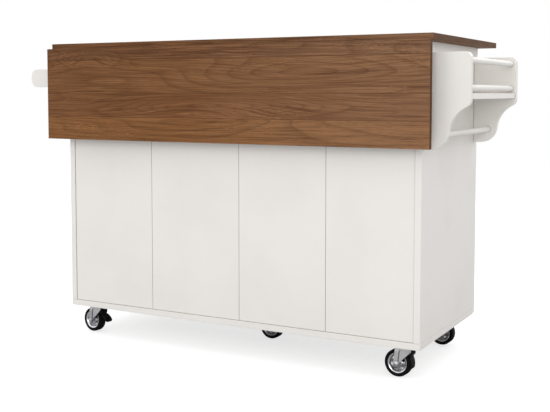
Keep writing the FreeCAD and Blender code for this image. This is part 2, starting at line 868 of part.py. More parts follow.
def caster_top(number):
    """Screw plate, ball race and kingpin of one caster, all held to the bottom board."""
    half = caster_plate / 2
    sheet_low = floor_gap - caster_plate_sheet
    plate = box(-half, half, -half, half, sheet_low, floor_gap)
    corners = [edge for edge in plate.Edges if edge.BoundBox.ZLength > 1.0]
    plate = plate.makeFillet(caster_plate_corner, corners)
    for x in (-screw_spacing / 2, screw_spacing / 2):
        for y in (-screw_spacing / 2, screw_spacing / 2):
            plate = plate.cut(rod_z(sheet_low, floor_gap, x, y, screw_hole_radius))
    race_low = sheet_low - caster_race_height
    top = crown_level()
    pin_low = top - fork_crown - touch_gap
    race = rod_z(race_low, sheet_low, 0, 0, caster_race_radius)
    pin = rod_z(pin_low, race_low, 0, 0, kingpin_radius)
    head = rod_z(pin_low - kingpin_head, pin_low, 0, 0, kingpin_head_radius)
    return plate.fuse(race).fuse(pin).fuse(head).removeSplitter()


def caster_plates():
    tops = []
    for number, (x, y) in caster_places().items():
        top = caster_top(number)
        top.translate(Vector(x, y, 0))
        tops.append(top)
    return group(tops)


def brake_pivot():
    """Place of the pedal's pin, a little outside the tyre and ahead of it."""
    reach = wheel_radius + brake_pivot_gap
    turn = math.radians(brake_pivot_deg)
    return reach * math.cos(turn) - caster_trail, wheel_radius + reach * math.sin(turn)


def brake_hood(number):
    """Guard under the fork crown, over the front of the tyre, whose cheeks carry the pedal's pin."""
    pivot_x, pivot_z = brake_pivot()
    horn_x = pivot_x + brake_horn_reach
    horn_z = pivot_z + brake_horn_rise
    half = brake_width / 2
    top = crown_level() - fork_crown
    cheek_radius = brake_barrel_radius + brake_cheek_wall
    start = kingpin_head_radius + brake_cheek_wall
    clear = wheel_radius + brake_tyre_gap
    start_z = wheel_radius + math.sqrt(clear ** 2 - (start + caster_trail) ** 2)
    body = polygon([Vector(start, 0, start_z),
                    Vector(start, 0, top),
                    Vector(pivot_x - brake_hood_setback, 0, top),
                    Vector(horn_x, 0, horn_z + brake_horn_tip / 2),
                    Vector(horn_x, 0, horn_z - brake_horn_tip / 2),
                    Vector(pivot_x - cheek_radius, 0, pivot_z + brake_hood_rise)])
    body = body.extrude(Vector(0, brake_width, 0))
    body.translate(Vector(0, -half, 0))
    for low in (-half, half - brake_cheek):
        cheek = rod_y(low, low + brake_cheek, pivot_x, pivot_z, cheek_radius)
        web = box(pivot_x - cheek_radius, pivot_x + cheek_radius, low, low + brake_cheek,
                  pivot_z, pivot_z + brake_web_rise)
        body = body.fuse(cheek).fuse(web)
    body = body.removeSplitter()
    barrel_room = rod_y(-half + brake_cheek, half - brake_cheek, pivot_x, pivot_z,
                        brake_barrel_radius + brake_barrel_gap)
    tyre_room = rod_y(-half, half, -caster_trail, wheel_radius, clear)
    pin = rod_y(-half, half, pivot_x, pivot_z, brake_pin_radius)
    body = body.cut(barrel_room).cut(tyre_room).cut(pin)
    return place_caster(group(body.Solids + [pin]), number)


def brake_pedal(number, lift_deg):
    """Step pedal on the hood's pin, drawn pressed, with its tab round the tyre, and then lifted."""
    pivot_x, pivot_z = brake_pivot()
    inner = brake_width / 2 - brake_cheek - touch_gap
    low = wheel_radius + brake_tab_gap
    high = low + brake_tab_sheet

    def about_axle(radius, turn_deg):
        turn = math.radians(turn_deg)
        return Vector(radius * math.cos(turn) - caster_trail, 0, wheel_radius + radius * math.sin(turn))

    start, end = brake_tab_start_deg, brake_tab_end_deg
    middle = (start + end) / 2
    outline = [
        arc(about_axle(high, start), about_axle(high, middle), about_axle(high, end)),
        line(about_axle(high, end), about_axle(low, end)),
        arc(about_axle(low, end), about_axle(low, middle), about_axle(low, start)),
        line(about_axle(low, start), about_axle(high, start)),
    ]
    tab = Part.Face(Part.Wire(outline)).extrude(Vector(0, brake_width, 0))
    tab.translate(Vector(0, -brake_width / 2, 0))
    corners = [edge for edge in tab.Edges
               if edge.BoundBox.YLength < hair and abs(edge.Length - brake_tab_sheet) < hair
               and edge.BoundBox.ZMax < wheel_radius]
    tab = tab.makeFillet(brake_width / 4, corners)
    barrel = rod_y(-inner, inner, pivot_x, pivot_z, brake_barrel_radius)
    neck = polygon([Vector(pivot_x - brake_neck / 2, 0, pivot_z),
                    Vector(pivot_x + brake_neck / 2, 0, pivot_z),
                    about_axle(high, start), about_axle(low, start)])
    neck = neck.extrude(Vector(0, 2 * inner, 0))
    neck.translate(Vector(0, -inner, 0))
    pedal = barrel.fuse(neck).fuse(tab).removeSplitter()
    pedal = pedal.cut(rod_y(-inner, inner, pivot_x, pivot_z, brake_pin_radius + running_gap))
    pedal.rotate(Vector(pivot_x, 0, pivot_z), Vector(0, 1, 0), -lift_deg)
    return place_caster(pedal, number)


# ---- the whole island -----------------------------------------------------------------------------------

def island():
    """Every node by name."""
    nodes = {
        "tabletop": tabletop(),
        "bottom_board": bottom_board(),
        "side_panel_left": side_panel(0),
        "side_panel_right": side_panel(cabinet_width - board),
        "centre_divider": centre_divider(),
        "carcass_strips": carcass_strips(),
        "shelves": shelves(),
        "shelf_pins": shelf_pins(),
        "drawer_runners": drawer_runners(),
        "rack_plates": rack_plates(),
        "rack_shelf": rack_shelf(),
        "rack_rods": rack_rods(),
        "towel_brackets": towel_brackets(),
        "towel_rods": towel_rods(),
        "leaf_hinge_fixed": leaf_hinge_fixed(),
        "stay_brackets": stay_brackets(),
        "caster_plates": caster_plates(),
        "door_hinge_arms": door_hinge_arms(),
        "drop_leaf": drop_leaf(),
        "leaf_hinge_plates": leaf_hinge_plates(),
        "leaf_stay_rails": leaf_stay_rails(),
        "stay_left": stay(stay_places[0]),
        "stay_right": stay(stay_places[1]),
    }
    for number, panel in enumerate(back_panels(), 1):
        nodes[f"back_panel_{number}"] = panel
    for number, span in enumerate(door_spans(), 1):
        nodes[f"door_{number}"] = door(*span)
        nodes[f"door_fittings_{number}"] = door_fittings(*span)
    for side in sections:
        nodes[f"drawer_front_{side}"] = drawer_front(side)
        nodes[f"drawer_box_{side}"] = drawer_box(side)
        nodes[f"drawer_handle_{side}"] = drawer_handle(side)
    for number in caster_places():
        nodes[f"caster_fork_{number}"] = caster_fork(number)
        nodes[f"caster_tyre_{number}"] = caster_tyre(number)
        nodes[f"caster_rim_{number}"] = caster_rim(number)
    for number, lift_deg in ((1, brake_lift_deg), (2, 0)):
        nodes[f"brake_hood_{number}"] = brake_hood(number)
        nodes[f"brake_pedal_{number}"] = brake_pedal(number, lift_deg)
    return nodes


os.makedirs("parts", exist_ok=True)
for name, shape in island().items():
    shape.translate(to_origin)
    shape.exportStep(f"parts/{name}.step")
    print(name, len(shape.Solids), "solids", round(shape.Volume / 1000.0, 1), "cm3", shape.isValid())
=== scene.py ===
# Rolling kitchen island with a hanging drop leaf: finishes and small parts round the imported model, in metres
import json
import math
import bmesh
import bpy
from mathutils import Matrix, Vector


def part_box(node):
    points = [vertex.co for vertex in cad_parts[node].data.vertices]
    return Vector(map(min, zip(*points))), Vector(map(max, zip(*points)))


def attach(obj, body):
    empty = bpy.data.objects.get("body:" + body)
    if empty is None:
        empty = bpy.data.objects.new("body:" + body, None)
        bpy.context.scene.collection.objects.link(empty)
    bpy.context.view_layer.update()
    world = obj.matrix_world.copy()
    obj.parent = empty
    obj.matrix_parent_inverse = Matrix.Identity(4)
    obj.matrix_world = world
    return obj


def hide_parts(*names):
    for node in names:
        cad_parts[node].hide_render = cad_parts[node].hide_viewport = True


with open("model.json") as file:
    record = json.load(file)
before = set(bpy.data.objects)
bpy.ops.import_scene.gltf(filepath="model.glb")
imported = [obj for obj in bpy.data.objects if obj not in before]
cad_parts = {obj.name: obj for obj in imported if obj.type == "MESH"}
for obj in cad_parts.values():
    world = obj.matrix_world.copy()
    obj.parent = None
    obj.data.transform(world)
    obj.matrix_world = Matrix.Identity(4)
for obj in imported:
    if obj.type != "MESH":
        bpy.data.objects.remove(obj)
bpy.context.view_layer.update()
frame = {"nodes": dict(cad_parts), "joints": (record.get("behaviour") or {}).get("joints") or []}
nodes = frame["nodes"]
jointPlaces = {joint["name"]: Vector(joint["pos_m"]) for joint in frame["joints"] if "pos_m" in joint}
mm = 0.001
casterNumbers = (1, 2, 3, 4, 5)
print("island: frame loaded,", len(nodes), "parts")


def newObject(name, data):
    thing = bpy.data.objects.new(name, data)
    bpy.context.scene.collection.objects.link(thing)
    return thing


# colours and node helpers

def tone(red, green, blue):
    # screen values from 0 to 255, as the linear colour that shaders take
    shares = [value / 255 for value in (red, green, blue)]
    linear = [share / 12.92 if share <= 0.04045 else ((share + 0.055) / 1.055) ** 2.4 for share in shares]
    return (*linear, 1.0)


def clearedTree(owner):
    # the node tree of a material or a world, with nothing in it
    owner.use_nodes = True
    owner.node_tree.nodes.clear()
    return owner.node_tree


def feed(tree, value, socket):
    if isinstance(value, bpy.types.NodeSocket):
        tree.links.new(value, socket)
    else:
        socket.default_value = value


def addNode(tree, kind, inputs=None, **settings):
    node = tree.nodes.new(kind)
    for key, value in settings.items():
        setattr(node, key, value)
    for key, value in (inputs or {}).items():
        feed(tree, value, node.inputs[key])
    return node


def made(tree, kind, inputs=None, **settings):
    # the first output of a new node
    return addNode(tree, kind, inputs, **settings).outputs[0]


def calc(tree, operation, *values):
    return made(tree, "ShaderNodeMath", dict(enumerate(values)), operation=operation)


def times(tree, first, second):
    return calc(tree, "MULTIPLY", first, second)


def vectorCalc(tree, operation, *values):
    return made(tree, "ShaderNodeVectorMath", dict(enumerate(values)), operation=operation)


def vectorOf(tree, x=0.0, y=0.0, z=0.0):
    return made(tree, "ShaderNodeCombineXYZ", {"X": x, "Y": y, "Z": z})


def axesOf(tree, vector):
    return addNode(tree, "ShaderNodeSeparateXYZ", {0: vector}).outputs


def noise(tree, vector, scale=1.0, detail=2.0, roughness=0.5, distortion=0.0):
    return made(tree, "ShaderNodeTexNoise", {"Vector": vector, "Scale": scale, "Detail": detail,
                                             "Roughness": roughness, "Distortion": distortion})


def remap(tree, value, low, high, toLow=0.0, toHigh=1.0):
    return made(tree, "ShaderNodeMapRange", {"Value": value, "From Min": low, "From Max": high,
                                             "To Min": toLow, "To Max": toHigh}, clamp=True)


def stretched(tree, vector, scale, location=(0, 0, 0), rotation=(0, 0, 0)):
    return made(tree, "ShaderNodeMapping", {"Vector": vector, "Scale": scale, "Location": location,
                                            "Rotation": rotation})


def mixColour(tree, factor, first, second):
    node = addNode(tree, "ShaderNodeMix", {0: factor, 6: first, 7: second}, data_type="RGBA")
    return node.outputs[2]


def layered(tree, colour, layers):
    # lays colours over the first one, each as far as its mask and its share say
    for mask, share, over in layers:
        colour = mixColour(tree, times(tree, mask, share), colour, over)
    return colour


def steppedColour(tree, value, stops):
    node = addNode(tree, "ShaderNodeValToRGB", {0: value})
    band = node.color_ramp
    band.interpolation = "CONSTANT"
    first, last = band.elements
    first.position, first.color = stops[0]
    last.position, last.color = stops[-1]
    for position, colour in stops[1:-1]:
        band.elements.new(position).color = colour
    return node.outputs[0]


def nodeGroup(name, kind, inputs, outputs, outputKind="NodeSocketFloat"):
    # inputs holds each socket's first value, or the socket's kind where it has none
    tree = bpy.data.node_groups.new(name, kind)
    kinds = {int: "NodeSocketInt", float: "NodeSocketFloat"}
    for label, value in inputs.items():
        socket = tree.interface.new_socket(label, in_out="INPUT", socket_type=kinds.get(type(value), value))
        if type(value) in kinds:
            socket.default_value = value
    for label in outputs:
        tree.interface.new_socket(label, in_out="OUTPUT", socket_type=outputKind)
    return tree, tree.nodes.new("NodeGroupInput").outputs, tree.nodes.new("NodeGroupOutput").inputs


def shaderGroup(name, inputs, outputs):
    return nodeGroup(name, "ShaderNodeTree", inputs, outputs)


def useGroup(tree, group, inputs):
    node = tree.nodes.new("ShaderNodeGroup")
    node.node_tree = group
    for key, value in inputs.items():
        feed(tree, value, node.inputs[key])
    return node.outputs


# effects that several finishes share

# how often each part of the wood's figure repeats in a metre: along the grain, across it, through the board
grainScales = {"field": (1.1, 11.0, 3.0), "broad": (1.5, 58.0, 20.0), "middle": (4.6, 320.0, 60.0),
               "fine": (11.0, 640.0, 140.0), "dashes": (34.0, 900.0, 300.0), "patches": (5.0, 24.0, 8.0),
               "sparks": (70.0, 420.0, 120.0), "clusters": (3.4, 17.0, 6.0)}


def buildWoodFigure():
    # growth rings, fibre streaks, pores and light flecks of one strip of wood; x runs along the grain
    tree, given, result = shaderGroup("woodFigure", {
        "Vector": "NodeSocketVector", "Strip": 0.0, "Ring Count": 9.0, "Knots": 0.0},
        ("Rings", "Streaks", "Pores", "Flecks", "Height"))

    def grain(part, vector, detail, roughness=0.5, distortion=0.0, location=(0, 0, 0)):
        placed = stretched(tree, vector, grainScales[part], location)
        return noise(tree, placed, 1.0, detail, roughness, distortion)

    shift = vectorOf(tree, *[times(tree, given["Strip"], step) for step in (37.0, 11.0, 5.0)])
    place = vectorCalc(tree, "ADD", given["Vector"], shift)
    field = calc(tree, "ADD", grain("field", place, 1.2, 0.4, 0.25), given["Knots"])
    ring = calc(tree, "FRACT", times(tree, field, given["Ring Count"]))
    rise = calc(tree, "POWER", remap(tree, ring, 0.35, 0.92), 2.2)
    rings = times(tree, rise, remap(tree, ring, 0.93, 1.0, 1.0, 0.0))
    wavy = vectorCalc(tree, "ADD", place, vectorOf(tree, y=times(tree, field, 0.06)))
    broad = grain("broad", wavy, 2.0, 0.55)
    middle = grain("middle", wavy, 2.0, 0.6)
    fine = grain("fine", wavy, 2.0, 0.62)
    streaks = calc(tree, "ADD", times(tree, broad, 0.24), times(tree, middle, 0.46))
    streaks = calc(tree, "MULTIPLY_ADD", fine, 0.30, streaks)
    dashes = remap(tree, grain("dashes", wavy, 1.0, 0.4), 0.60, 0.70)
    pores = times(tree, dashes, remap(tree, grain("patches", place, 1.0), 0.35, 0.60, 0.25, 1.0))
    sparks = remap(tree, grain("sparks", place, 0.0), 0.60, 0.74)
    clusters = remap(tree, grain("clusters", place, 1.0, location=(4.1, 2.3, 0.7)), 0.52, 0.68)
    feed(tree, rings, result["Rings"])
    feed(tree, remap(tree, streaks, 0.37, 0.63), result["Streaks"])
    feed(tree, pores, result["Pores"])
    feed(tree, times(tree, sparks, clusters), result["Flecks"])
    feed(tree, calc(tree, "SUBTRACT", times(tree, fine, 0.5), pores), result["Height"])
    return tree


def buildEdgeWear():
    # 1 along outer edges, broken up by noise, 0 on open faces
    tree, given, result = shaderGroup("edgeWear", {
        "Vector": "NodeSocketVector", "Width": 1.5 * mm, "Amount": 0.5}, ("Mask",))
    rounded = made(tree, "ShaderNodeBevel", {"Radius": given["Width"]}, samples=4)
    flat = addNode(tree, "ShaderNodeNewGeometry").outputs["Normal"]
    alike = vectorCalc(tree, "DOT_PRODUCT", rounded, flat).node.outputs["Value"]
    patchy = remap(tree, noise(tree, given["Vector"], 55.0, 3.0, 0.6), 0.38, 0.66)
    worn = times(tree, remap(tree, alike, 0.985, 0.86), patchy)
    feed(tree, times(tree, worn, given["Amount"]), result["Mask"])
    return tree


def buildHandling():
    # slow mottling of tone, smudges that change the gloss, and specks of dust
    tree, given, result = shaderGroup("handling", {"Vector": "NodeSocketVector", "Size": 6.0},
                                      ("Mottle", "Smudge", "Dust"))
    feed(tree, noise(tree, given["Vector"], given["Size"], 4.0, 0.55), result["Mottle"])
    turnedPlace = stretched(tree, given["Vector"], (1.0, 1.3, 0.5), rotation=(0.3, 0.5, 0.2))
    smears = noise(tree, turnedPlace, times(tree, given["Size"], 2.2), 3.0, 0.6, 0.8)
    feed(tree, remap(tree, smears, 0.46, 0.72), result["Smudge"])
    specks = noise(tree, given["Vector"], times(tree, given["Size"], 90.0), 1.0, 0.5)
    feed(tree, remap(tree, specks, 0.62, 0.78), result["Dust"])
    return tree


def buildBrushing():
    # fine parallel lines, along x of the vector given
    tree, given, result = shaderGroup("brushing", {"Vector": "NodeSocketVector", "Fineness": 1.0}, ("Lines",))
    lines = vectorCalc(tree, "MULTIPLY", given["Vector"], (30.0, 2200.0, 2200.0))
    feed(tree, noise(tree, lines, given["Fineness"], 2.0, 0.6), result["Lines"])
    return tree


def buildPaintedRecessShade():
    # painted shade: 1 deep in corners and gaps, where ambient occlusion finds them, 0 on open faces
    tree, given, result = shaderGroup("paintedRecessShade", {"Distance": 5 * mm}, ("Mask",))
    openness = addNode(tree, "ShaderNodeAmbientOcclusion", {"Distance": given["Distance"]}, samples=8)
    feed(tree, remap(tree, openness.outputs["AO"], 0.92, 0.42), result["Mask"])
    return tree


woodFigure = buildWoodFigure()
edgeWear = buildEdgeWear()
handling = buildHandling()
brushing = buildBrushing()
paintedRecessShade = buildPaintedRecessShade()


def startFinish(name, look):
    # gives the material, its tree and shader, the surface's place, and the marks that handling leaves
    material = bpy.data.materials.new(name)
    tree = clearedTree(material)
    shader = tree.nodes.new("ShaderNodeBsdfPrincipled")
    feed(tree, shader.outputs[0], tree.nodes.new("ShaderNodeOutputMaterial").inputs["Surface"])
    place = tree.nodes.new("ShaderNodeTexCoord").outputs
    care = useGroup(tree, handling, {"Vector": place["Object"], "Size": look["patchSize"]})
    return material, tree, shader.inputs, place, care


def edgeWearAndGapShade(tree, place, look):
    # two layers of every painted or metal piece: worn edges, and painted shade, a darker tone deep in corners
    # and gaps
    worn = useGroup(tree, edgeWear, {"Vector": place["Object"], "Width": look["wearWidth"],
                                     "Amount": look["wearShare"]})["Mask"]
    # painted shade deep in corners and gaps
    deep = useGroup(tree, paintedRecessShade, {"Distance": look["paintedShadeReach"]})["Mask"]
    return (worn, 1.0, look["wear"]), (deep, look["paintedShadeShare"], look["paintedRecessShade"])


def smudged(tree, care, look):
    # roughness, a little higher where hands have been
    return calc(tree, "MULTIPLY_ADD", care["Smudge"], look["smudgeGloss"], look["roughness"])


def finishSurface(tree, shader, look, colour, roughness, height):
    feed(tree, colour, shader["Base Color"])
    feed(tree, roughness, shader["Roughness"])
    shader["Metallic"].default_value = look.get("metallic", 0.0)
    shader["Specular IOR Level"].default_value = look["specular"]
    feed(tree, made(tree, "ShaderNodeBump", {"Height": height, "Strength": look["bump"],
                                             "Distance": look["bumpDepth"]}), shader["Normal"])


# walnut worktop and leaf

walnutLook = {
    "dark": tone(70, 42, 26),
    "light": tone(162, 118, 83),
    "pore": tone(62, 36, 22),
    # end faces: the end grain's own darker tone, deepened with painted shade
    "end": tone(82, 52, 29),
    "paintedSheen": tone(162, 130, 106),
    "paintedSheenFrom": -0.10,          # painted sheen: the tone lightens towards +x between these two places along the island
    "paintedSheenTo": 0.55,
    "paintedSheenShare": 0.26,
    "ringShare": 0.33,
    "streakShare": 0.66,
    "poreShare": 0.45,
    "fleckShare": 0.45,
    "endGrainAndShadeShare": 0.85,
    "jointHalf": 0.6 * mm,
    "jointShare": 0.5,
    "ringCount": 13.0,
    "patchSize": 7.0,
    "roughness": 0.46,
    "smudgeGloss": 0.07,
    "poreGloss": 0.15,
    "specular": 0.03,
    "bump": 0.22,
    "bumpDepth": 0.3 * mm,
}
# strips of veneer: how far each one ends from the first edge, and its colour
leafStrips = [
    (0.037, tone(107, 73, 49)), (0.137, tone(119, 81, 52)),
    (0.207, tone(118, 79, 51)), (0.277, tone(130, 89, 55)),
]
topStrips = [
    (0.058, tone(111, 76, 50)), (0.148, tone(119, 81, 53)),
    (0.216, tone(109, 74, 49)), (0.300, tone(126, 87, 56)),
    (0.372, tone(114, 77, 51)), (0.448, tone(122, 83, 54)),
    (0.516, tone(110, 74, 48)), (0.584, tone(124, 85, 55)),
]
# swirls in the figure: place along the grain, place across it, half lengths, strength
leafKnots = [(-0.45, 0.032, 0.11, 0.020, 0.42), (0.30, 0.085, 0.30, 0.030, -0.40),
             (0.10, 0.171, 0.34, 0.024, 0.46)]
topKnots = [(0.31, 0.19, 0.11, 0.026, 0.8), (-0.38, 0.41, 0.19, 0.022, -0.5), (0.05, 0.08, 0.2, 0.02, 0.5)]


def swirlField(tree, along, crossing, knots):
    # soft hills and hollows that bend the growth rings
    swirl = 0.0
    for alongAt, acrossAt, halfAlong, halfAcross, strength in knots:
        toX = calc(tree, "DIVIDE", calc(tree, "SUBTRACT", along, alongAt), halfAlong)
        toY = calc(tree, "DIVIDE", calc(tree, "SUBTRACT", crossing, acrossAt), halfAcross)
        squares = calc(tree, "MULTIPLY_ADD", toX, toX, times(tree, toY, toY))
        near = calc(tree, "EXPONENT", times(tree, squares, -1.0))
        swirl = calc(tree, "MULTIPLY_ADD", near, strength, swirl)
    return swirl


def walnutFinish(name, across, origin, strips, knots):
    # across is the axis that crosses the strips, and origin is where the first strip starts on it
    look = walnutLook
    material, tree, shader, place, care = startFinish(name, look)
    axes = axesOf(tree, place["Object"])
    sign, depth = (-1.0, axes["Y"]) if across == "Z" else (1.0, axes["Z"])
    crossing = calc(tree, "MULTIPLY_ADD", axes[across], sign, -sign * origin)
    isEnd = calc(tree, "GREATER_THAN", calc(tree, "ABSOLUTE", axesOf(tree, place["Normal"])["X"]), 0.7)
    alongEnd = vectorOf(tree, crossing, depth, axes["X"])
    alongFace = vectorOf(tree, axes["X"], calc(tree, "ADD", crossing, depth))
    total = strips[-1][0]
    edges = [0.0] + [end for end, colour in strips[:-1]]
    share = calc(tree, "DIVIDE", crossing, total)
    starts = [edge / total for edge in edges]
    stripColour = steppedColour(tree, share, list(zip(starts, [colour for end, colour in strips])))
    stripNumber = steppedColour(tree, share, [(start, (step / len(strips),) * 3 + (1.0,))
                                              for step, start in enumerate(starts)])
    figure = useGroup(tree, woodFigure, {
        "Vector": mixColour(tree, isEnd, alongFace, alongEnd), "Strip": stripNumber,
        "Ring Count": look["ringCount"], "Knots": swirlField(tree, axes["X"], crossing, knots)})
    joint = 0.0
    for edge in edges[1:]:
        joint = calc(tree, "ADD", calc(tree, "COMPARE", crossing, edge, look["jointHalf"]), joint)
    colour = layered(tree, stripColour, (
        # painted sheen, paler towards the +x end
        (remap(tree, axes["X"], look["paintedSheenFrom"], look["paintedSheenTo"]), look["paintedSheenShare"], look["paintedSheen"]),
        (remap(tree, figure["Streaks"], 0.55, 0.0), look["streakShare"], look["dark"]),
        (remap(tree, figure["Streaks"], 0.50, 1.0), look["streakShare"] * 0.6, look["light"]),
        (figure["Rings"], look["ringShare"], look["dark"]),
        (figure["Flecks"], look["fleckShare"], look["light"]),
        (figure["Pores"], look["poreShare"], look["pore"]),
        (joint, look["jointShare"], look["dark"]),
        # end faces darker: end grain tone and painted shade
        (isEnd, look["endGrainAndShadeShare"], look["end"])))
    rough = calc(tree, "MULTIPLY_ADD", figure["Pores"], look["poreGloss"], smudged(tree, care, look))
    finishSurface(tree, shader, look, colour, rough, figure["Height"])
    return material


# painted boards, rods and inner boards

# the recess tone, a darker grey, is painted shade in the seams and corners of the boards
paintLook = {"mottleShare": 0.45, "dustShare": 0.10, "wearWidth": 1.2 * mm, "wearShare": 0.25,
             "paintedRecessShade": tone(118, 113, 108), "paintedShadeReach": 3 * mm, "paintedShadeShare": 0.60, "patchSize": 4.5,
             "smudgeGloss": 0.09, "specular": 0.3, "bump": 0.10, "bumpDepth": 0.2 * mm}
boardLook = {**paintLook, "colour": tone(233, 230, 226), "shade": tone(222, 218, 212),
             "wear": tone(196, 186, 170), "paintedShadeShare": 0.75, "roughness": 0.40, "texture": 900.0}
rodLook = {**paintLook, "colour": tone(232, 229, 225), "shade": tone(219, 215, 209),
           "wear": tone(200, 190, 174), "wearShare": 0.2, "roughness": 0.50, "texture": 500.0}
foilLook = {**paintLook, "colour": tone(228, 226, 221), "shade": tone(217, 214, 207),
            "wear": tone(190, 180, 164), "paintedRecessShade": tone(116, 110, 102), "roughness": 0.48, "texture": 1300.0}
pineLook = {"colour": tone(214, 187, 146), "dark": tone(176, 140, 96), "ringCount": 7.0, "ringShare": 0.75,
            "streakShare": 0.35, "patchSize": 4.5, "roughness": 0.62, "roughRange": 0.1, "specular": 0.5,
            "bump": 0.3, "bumpDepth": 0.3 * mm}


def paintFinish(name, look):
    material, tree, shader, place, care = startFinish(name, look)
    colour = layered(tree, look["colour"], (
        (remap(tree, care["Mottle"], 0.42, 0.78), look["mottleShare"], look["shade"]),
        (care["Dust"], look["dustShare"], look["wear"]), *edgeWearAndGapShade(tree, place, look)))
    peel = noise(tree, place["Object"], look["texture"])
    finishSurface(tree, shader, look, colour, smudged(tree, care, look), peel)
    return material


def pineFinish(name):
    look = pineLook
    material, tree, shader, place = startFinish(name, look)[:4]
    upright = stretched(tree, place["Object"], (1, 1, 1), rotation=(0, math.radians(90), 0))
    figure = useGroup(tree, woodFigure, {"Vector": upright, "Strip": 0.3, "Ring Count": look["ringCount"]})
    colour = layered(tree, look["colour"], (
        (figure["Rings"], look["ringShare"], look["dark"]),
        (remap(tree, figure["Streaks"], 0.6, 0.0), look["streakShare"], look["dark"])))
    rough = calc(tree, "MULTIPLY_ADD", figure["Streaks"], look["roughRange"], look["roughness"])
    finishSurface(tree, shader, look, colour, rough, figure["Height"])
    return material


# metals, rubber and black steel

# each metal's recess tone is painted shade in its hollows, grooves and gaps
metalLook = {"wear": tone(236, 236, 238), "wearWidth": 0.6 * mm, "wearShare": 0.6, "dullShare": 0.7,
             "paintedShadeReach": 6 * mm, "paintedShadeShare": 0.7, "patchSize": 40.0, "smudgeGloss": 0.10,
             "lineGloss": 0.12, "metallic": 1.0, "specular": 0.5, "bumpDepth": 0.2 * mm}
metalLooks = {
    "hinge_steel": {**metalLook, "colour": tone(200, 199, 198), "dull": tone(158, 156, 153),
                    "paintedRecessShade": tone(70, 68, 66), "roughness": 0.30, "lines": 0.5, "bump": 0.1},
    "stay_steel": {**metalLook, "colour": tone(196, 197, 200), "dull": tone(154, 156, 159),
                   "paintedRecessShade": tone(66, 66, 68), "roughness": 0.34, "lines": 0.6, "bump": 0.108},
    "handle_nickel": {**metalLook, "colour": tone(192, 186, 178), "dull": tone(160, 154, 146),
                      "paintedRecessShade": tone(84, 80, 76), "paintedShadeShare": 0.5, "roughness": 0.27, "lines": 0.9,
                      "bump": 0.132},
    "caster_zinc": {**metalLook, "colour": tone(212, 212, 214), "dull": tone(168, 169, 172),
                    "paintedRecessShade": tone(34, 34, 36), "paintedShadeReach": 4 * mm, "paintedShadeShare": 0.9, "roughness": 0.34,
                    "lines": 0.4, "bump": 0.092},
    # the wheel centre's recess tone, reaching 13 mm, is painted shade over the whole dish
    "rim_chrome": {**metalLook, "colour": tone(226, 227, 230), "dull": tone(124, 125, 128),
                   "paintedRecessShade": tone(20, 20, 22), "paintedShadeReach": 13 * mm, "paintedShadeShare": 1.0, "roughness": 0.15,
                   "lines": 0.2, "bump": 0.076},
    "black_steel": {**metalLook, "colour": tone(9, 8, 8), "dull": tone(20, 19, 18), "wear": tone(20, 19, 18),
                    "paintedRecessShade": tone(5, 5, 5), "paintedShadeShare": 0.6, "metallic": 0.0, "specular": 0.12,
                    "roughness": 0.5, "lines": 0.0, "bump": 0.06},
}
rubberLook = {"colour": tone(10, 9, 10), "dusty": tone(36, 34, 33), "dustRise": 12 * mm, "dustLeast": 0.12,
              "dustMost": 0.4, "patchSize": 30.0, "roughness": 0.6, "smudgeGloss": 0.14, "specular": 0.1,
              "texture": 700.0, "bump": 0.12, "bumpDepth": 0.2 * mm}


def metalFinish(name, look):
    material, tree, shader, place, care = startFinish(name, look)
    lines = useGroup(tree, brushing, {"Vector": place["Object"]})["Lines"]
    colour = layered(tree, look["colour"], (
        (remap(tree, care["Mottle"], 0.40, 0.72), look["dullShare"], look["dull"]),
        *edgeWearAndGapShade(tree, place, look)))
    rough = calc(tree, "MULTIPLY_ADD", lines, look["lineGloss"] * look["lines"], smudged(tree, care, look))
    finishSurface(tree, shader, look, colour, rough, lines if look["lines"] else care["Dust"])
    return material


def rubberFinish(name):
    look = rubberLook
    material, tree, shader, place, care = startFinish(name, look)
    height = axesOf(tree, place["Object"])["Z"]
    low = remap(tree, height, look["dustRise"], 0.0, look["dustLeast"], look["dustMost"])
    colour = mixColour(tree, times(tree, care["Mottle"], low), look["colour"], look["dusty"])
    finishSurface(tree, shader, look, colour, smudged(tree, care, look),
                  noise(tree, place["Object"], look["texture"]))
    return material


finishes = {
    "walnut": walnutFinish("walnutTop", "Y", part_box("tabletop")[0].y, topStrips, topKnots),
    "white_board": paintFinish("whiteBoard", boardLook),
    "white_rod": paintFinish("whiteRod", rodLook),
    "drawer_board": paintFinish("drawerBoard", foilLook),
    "pale_wood": pineFinish("paleWood"),
    "tyre_rubber": rubberFinish("tyreRubber"),
}
for slotName, look in metalLooks.items():
    finishes[slotName] = metalFinish(slotName, look)
slotNames = {name: part.material_slots[0].material.name for name, part in nodes.items()}
for part in nodes.values():
    for materialSlot in part.material_slots:
        materialSlot.material = finishes[materialSlot.material.name]
leafFinish = walnutFinish("walnutLeaf", "Z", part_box("drop_leaf")[1].z, leafStrips, leafKnots)
nodes["drop_leaf"].material_slots[0].material = leafFinish
print("island: finishes made,", len(finishes) + 1)


# meshes

def addPiece(name, mesh, slotName, body, replaced=()):
    piece = newObject(name, mesh)
    mesh.materials.clear()
    mesh.materials.append(finishes[slotName])
    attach(piece, body)
    if replaced:
        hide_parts(*replaced)
    return piece


def meshFrom(name, bm, sharpDegrees=35):
    bmesh.ops.remove_doubles(bm, verts=bm.verts, dist=1e-6)
    bmesh.ops.recalc_face_normals(bm, faces=bm.faces)
    for face in bm.faces:
        face.smooth = True
    mesh = bpy.data.meshes.new(name)
    bm.to_mesh(mesh)
    bm.free()
    mesh.set_sharp_from_angle(angle=math.radians(sharpDegrees))
    return mesh


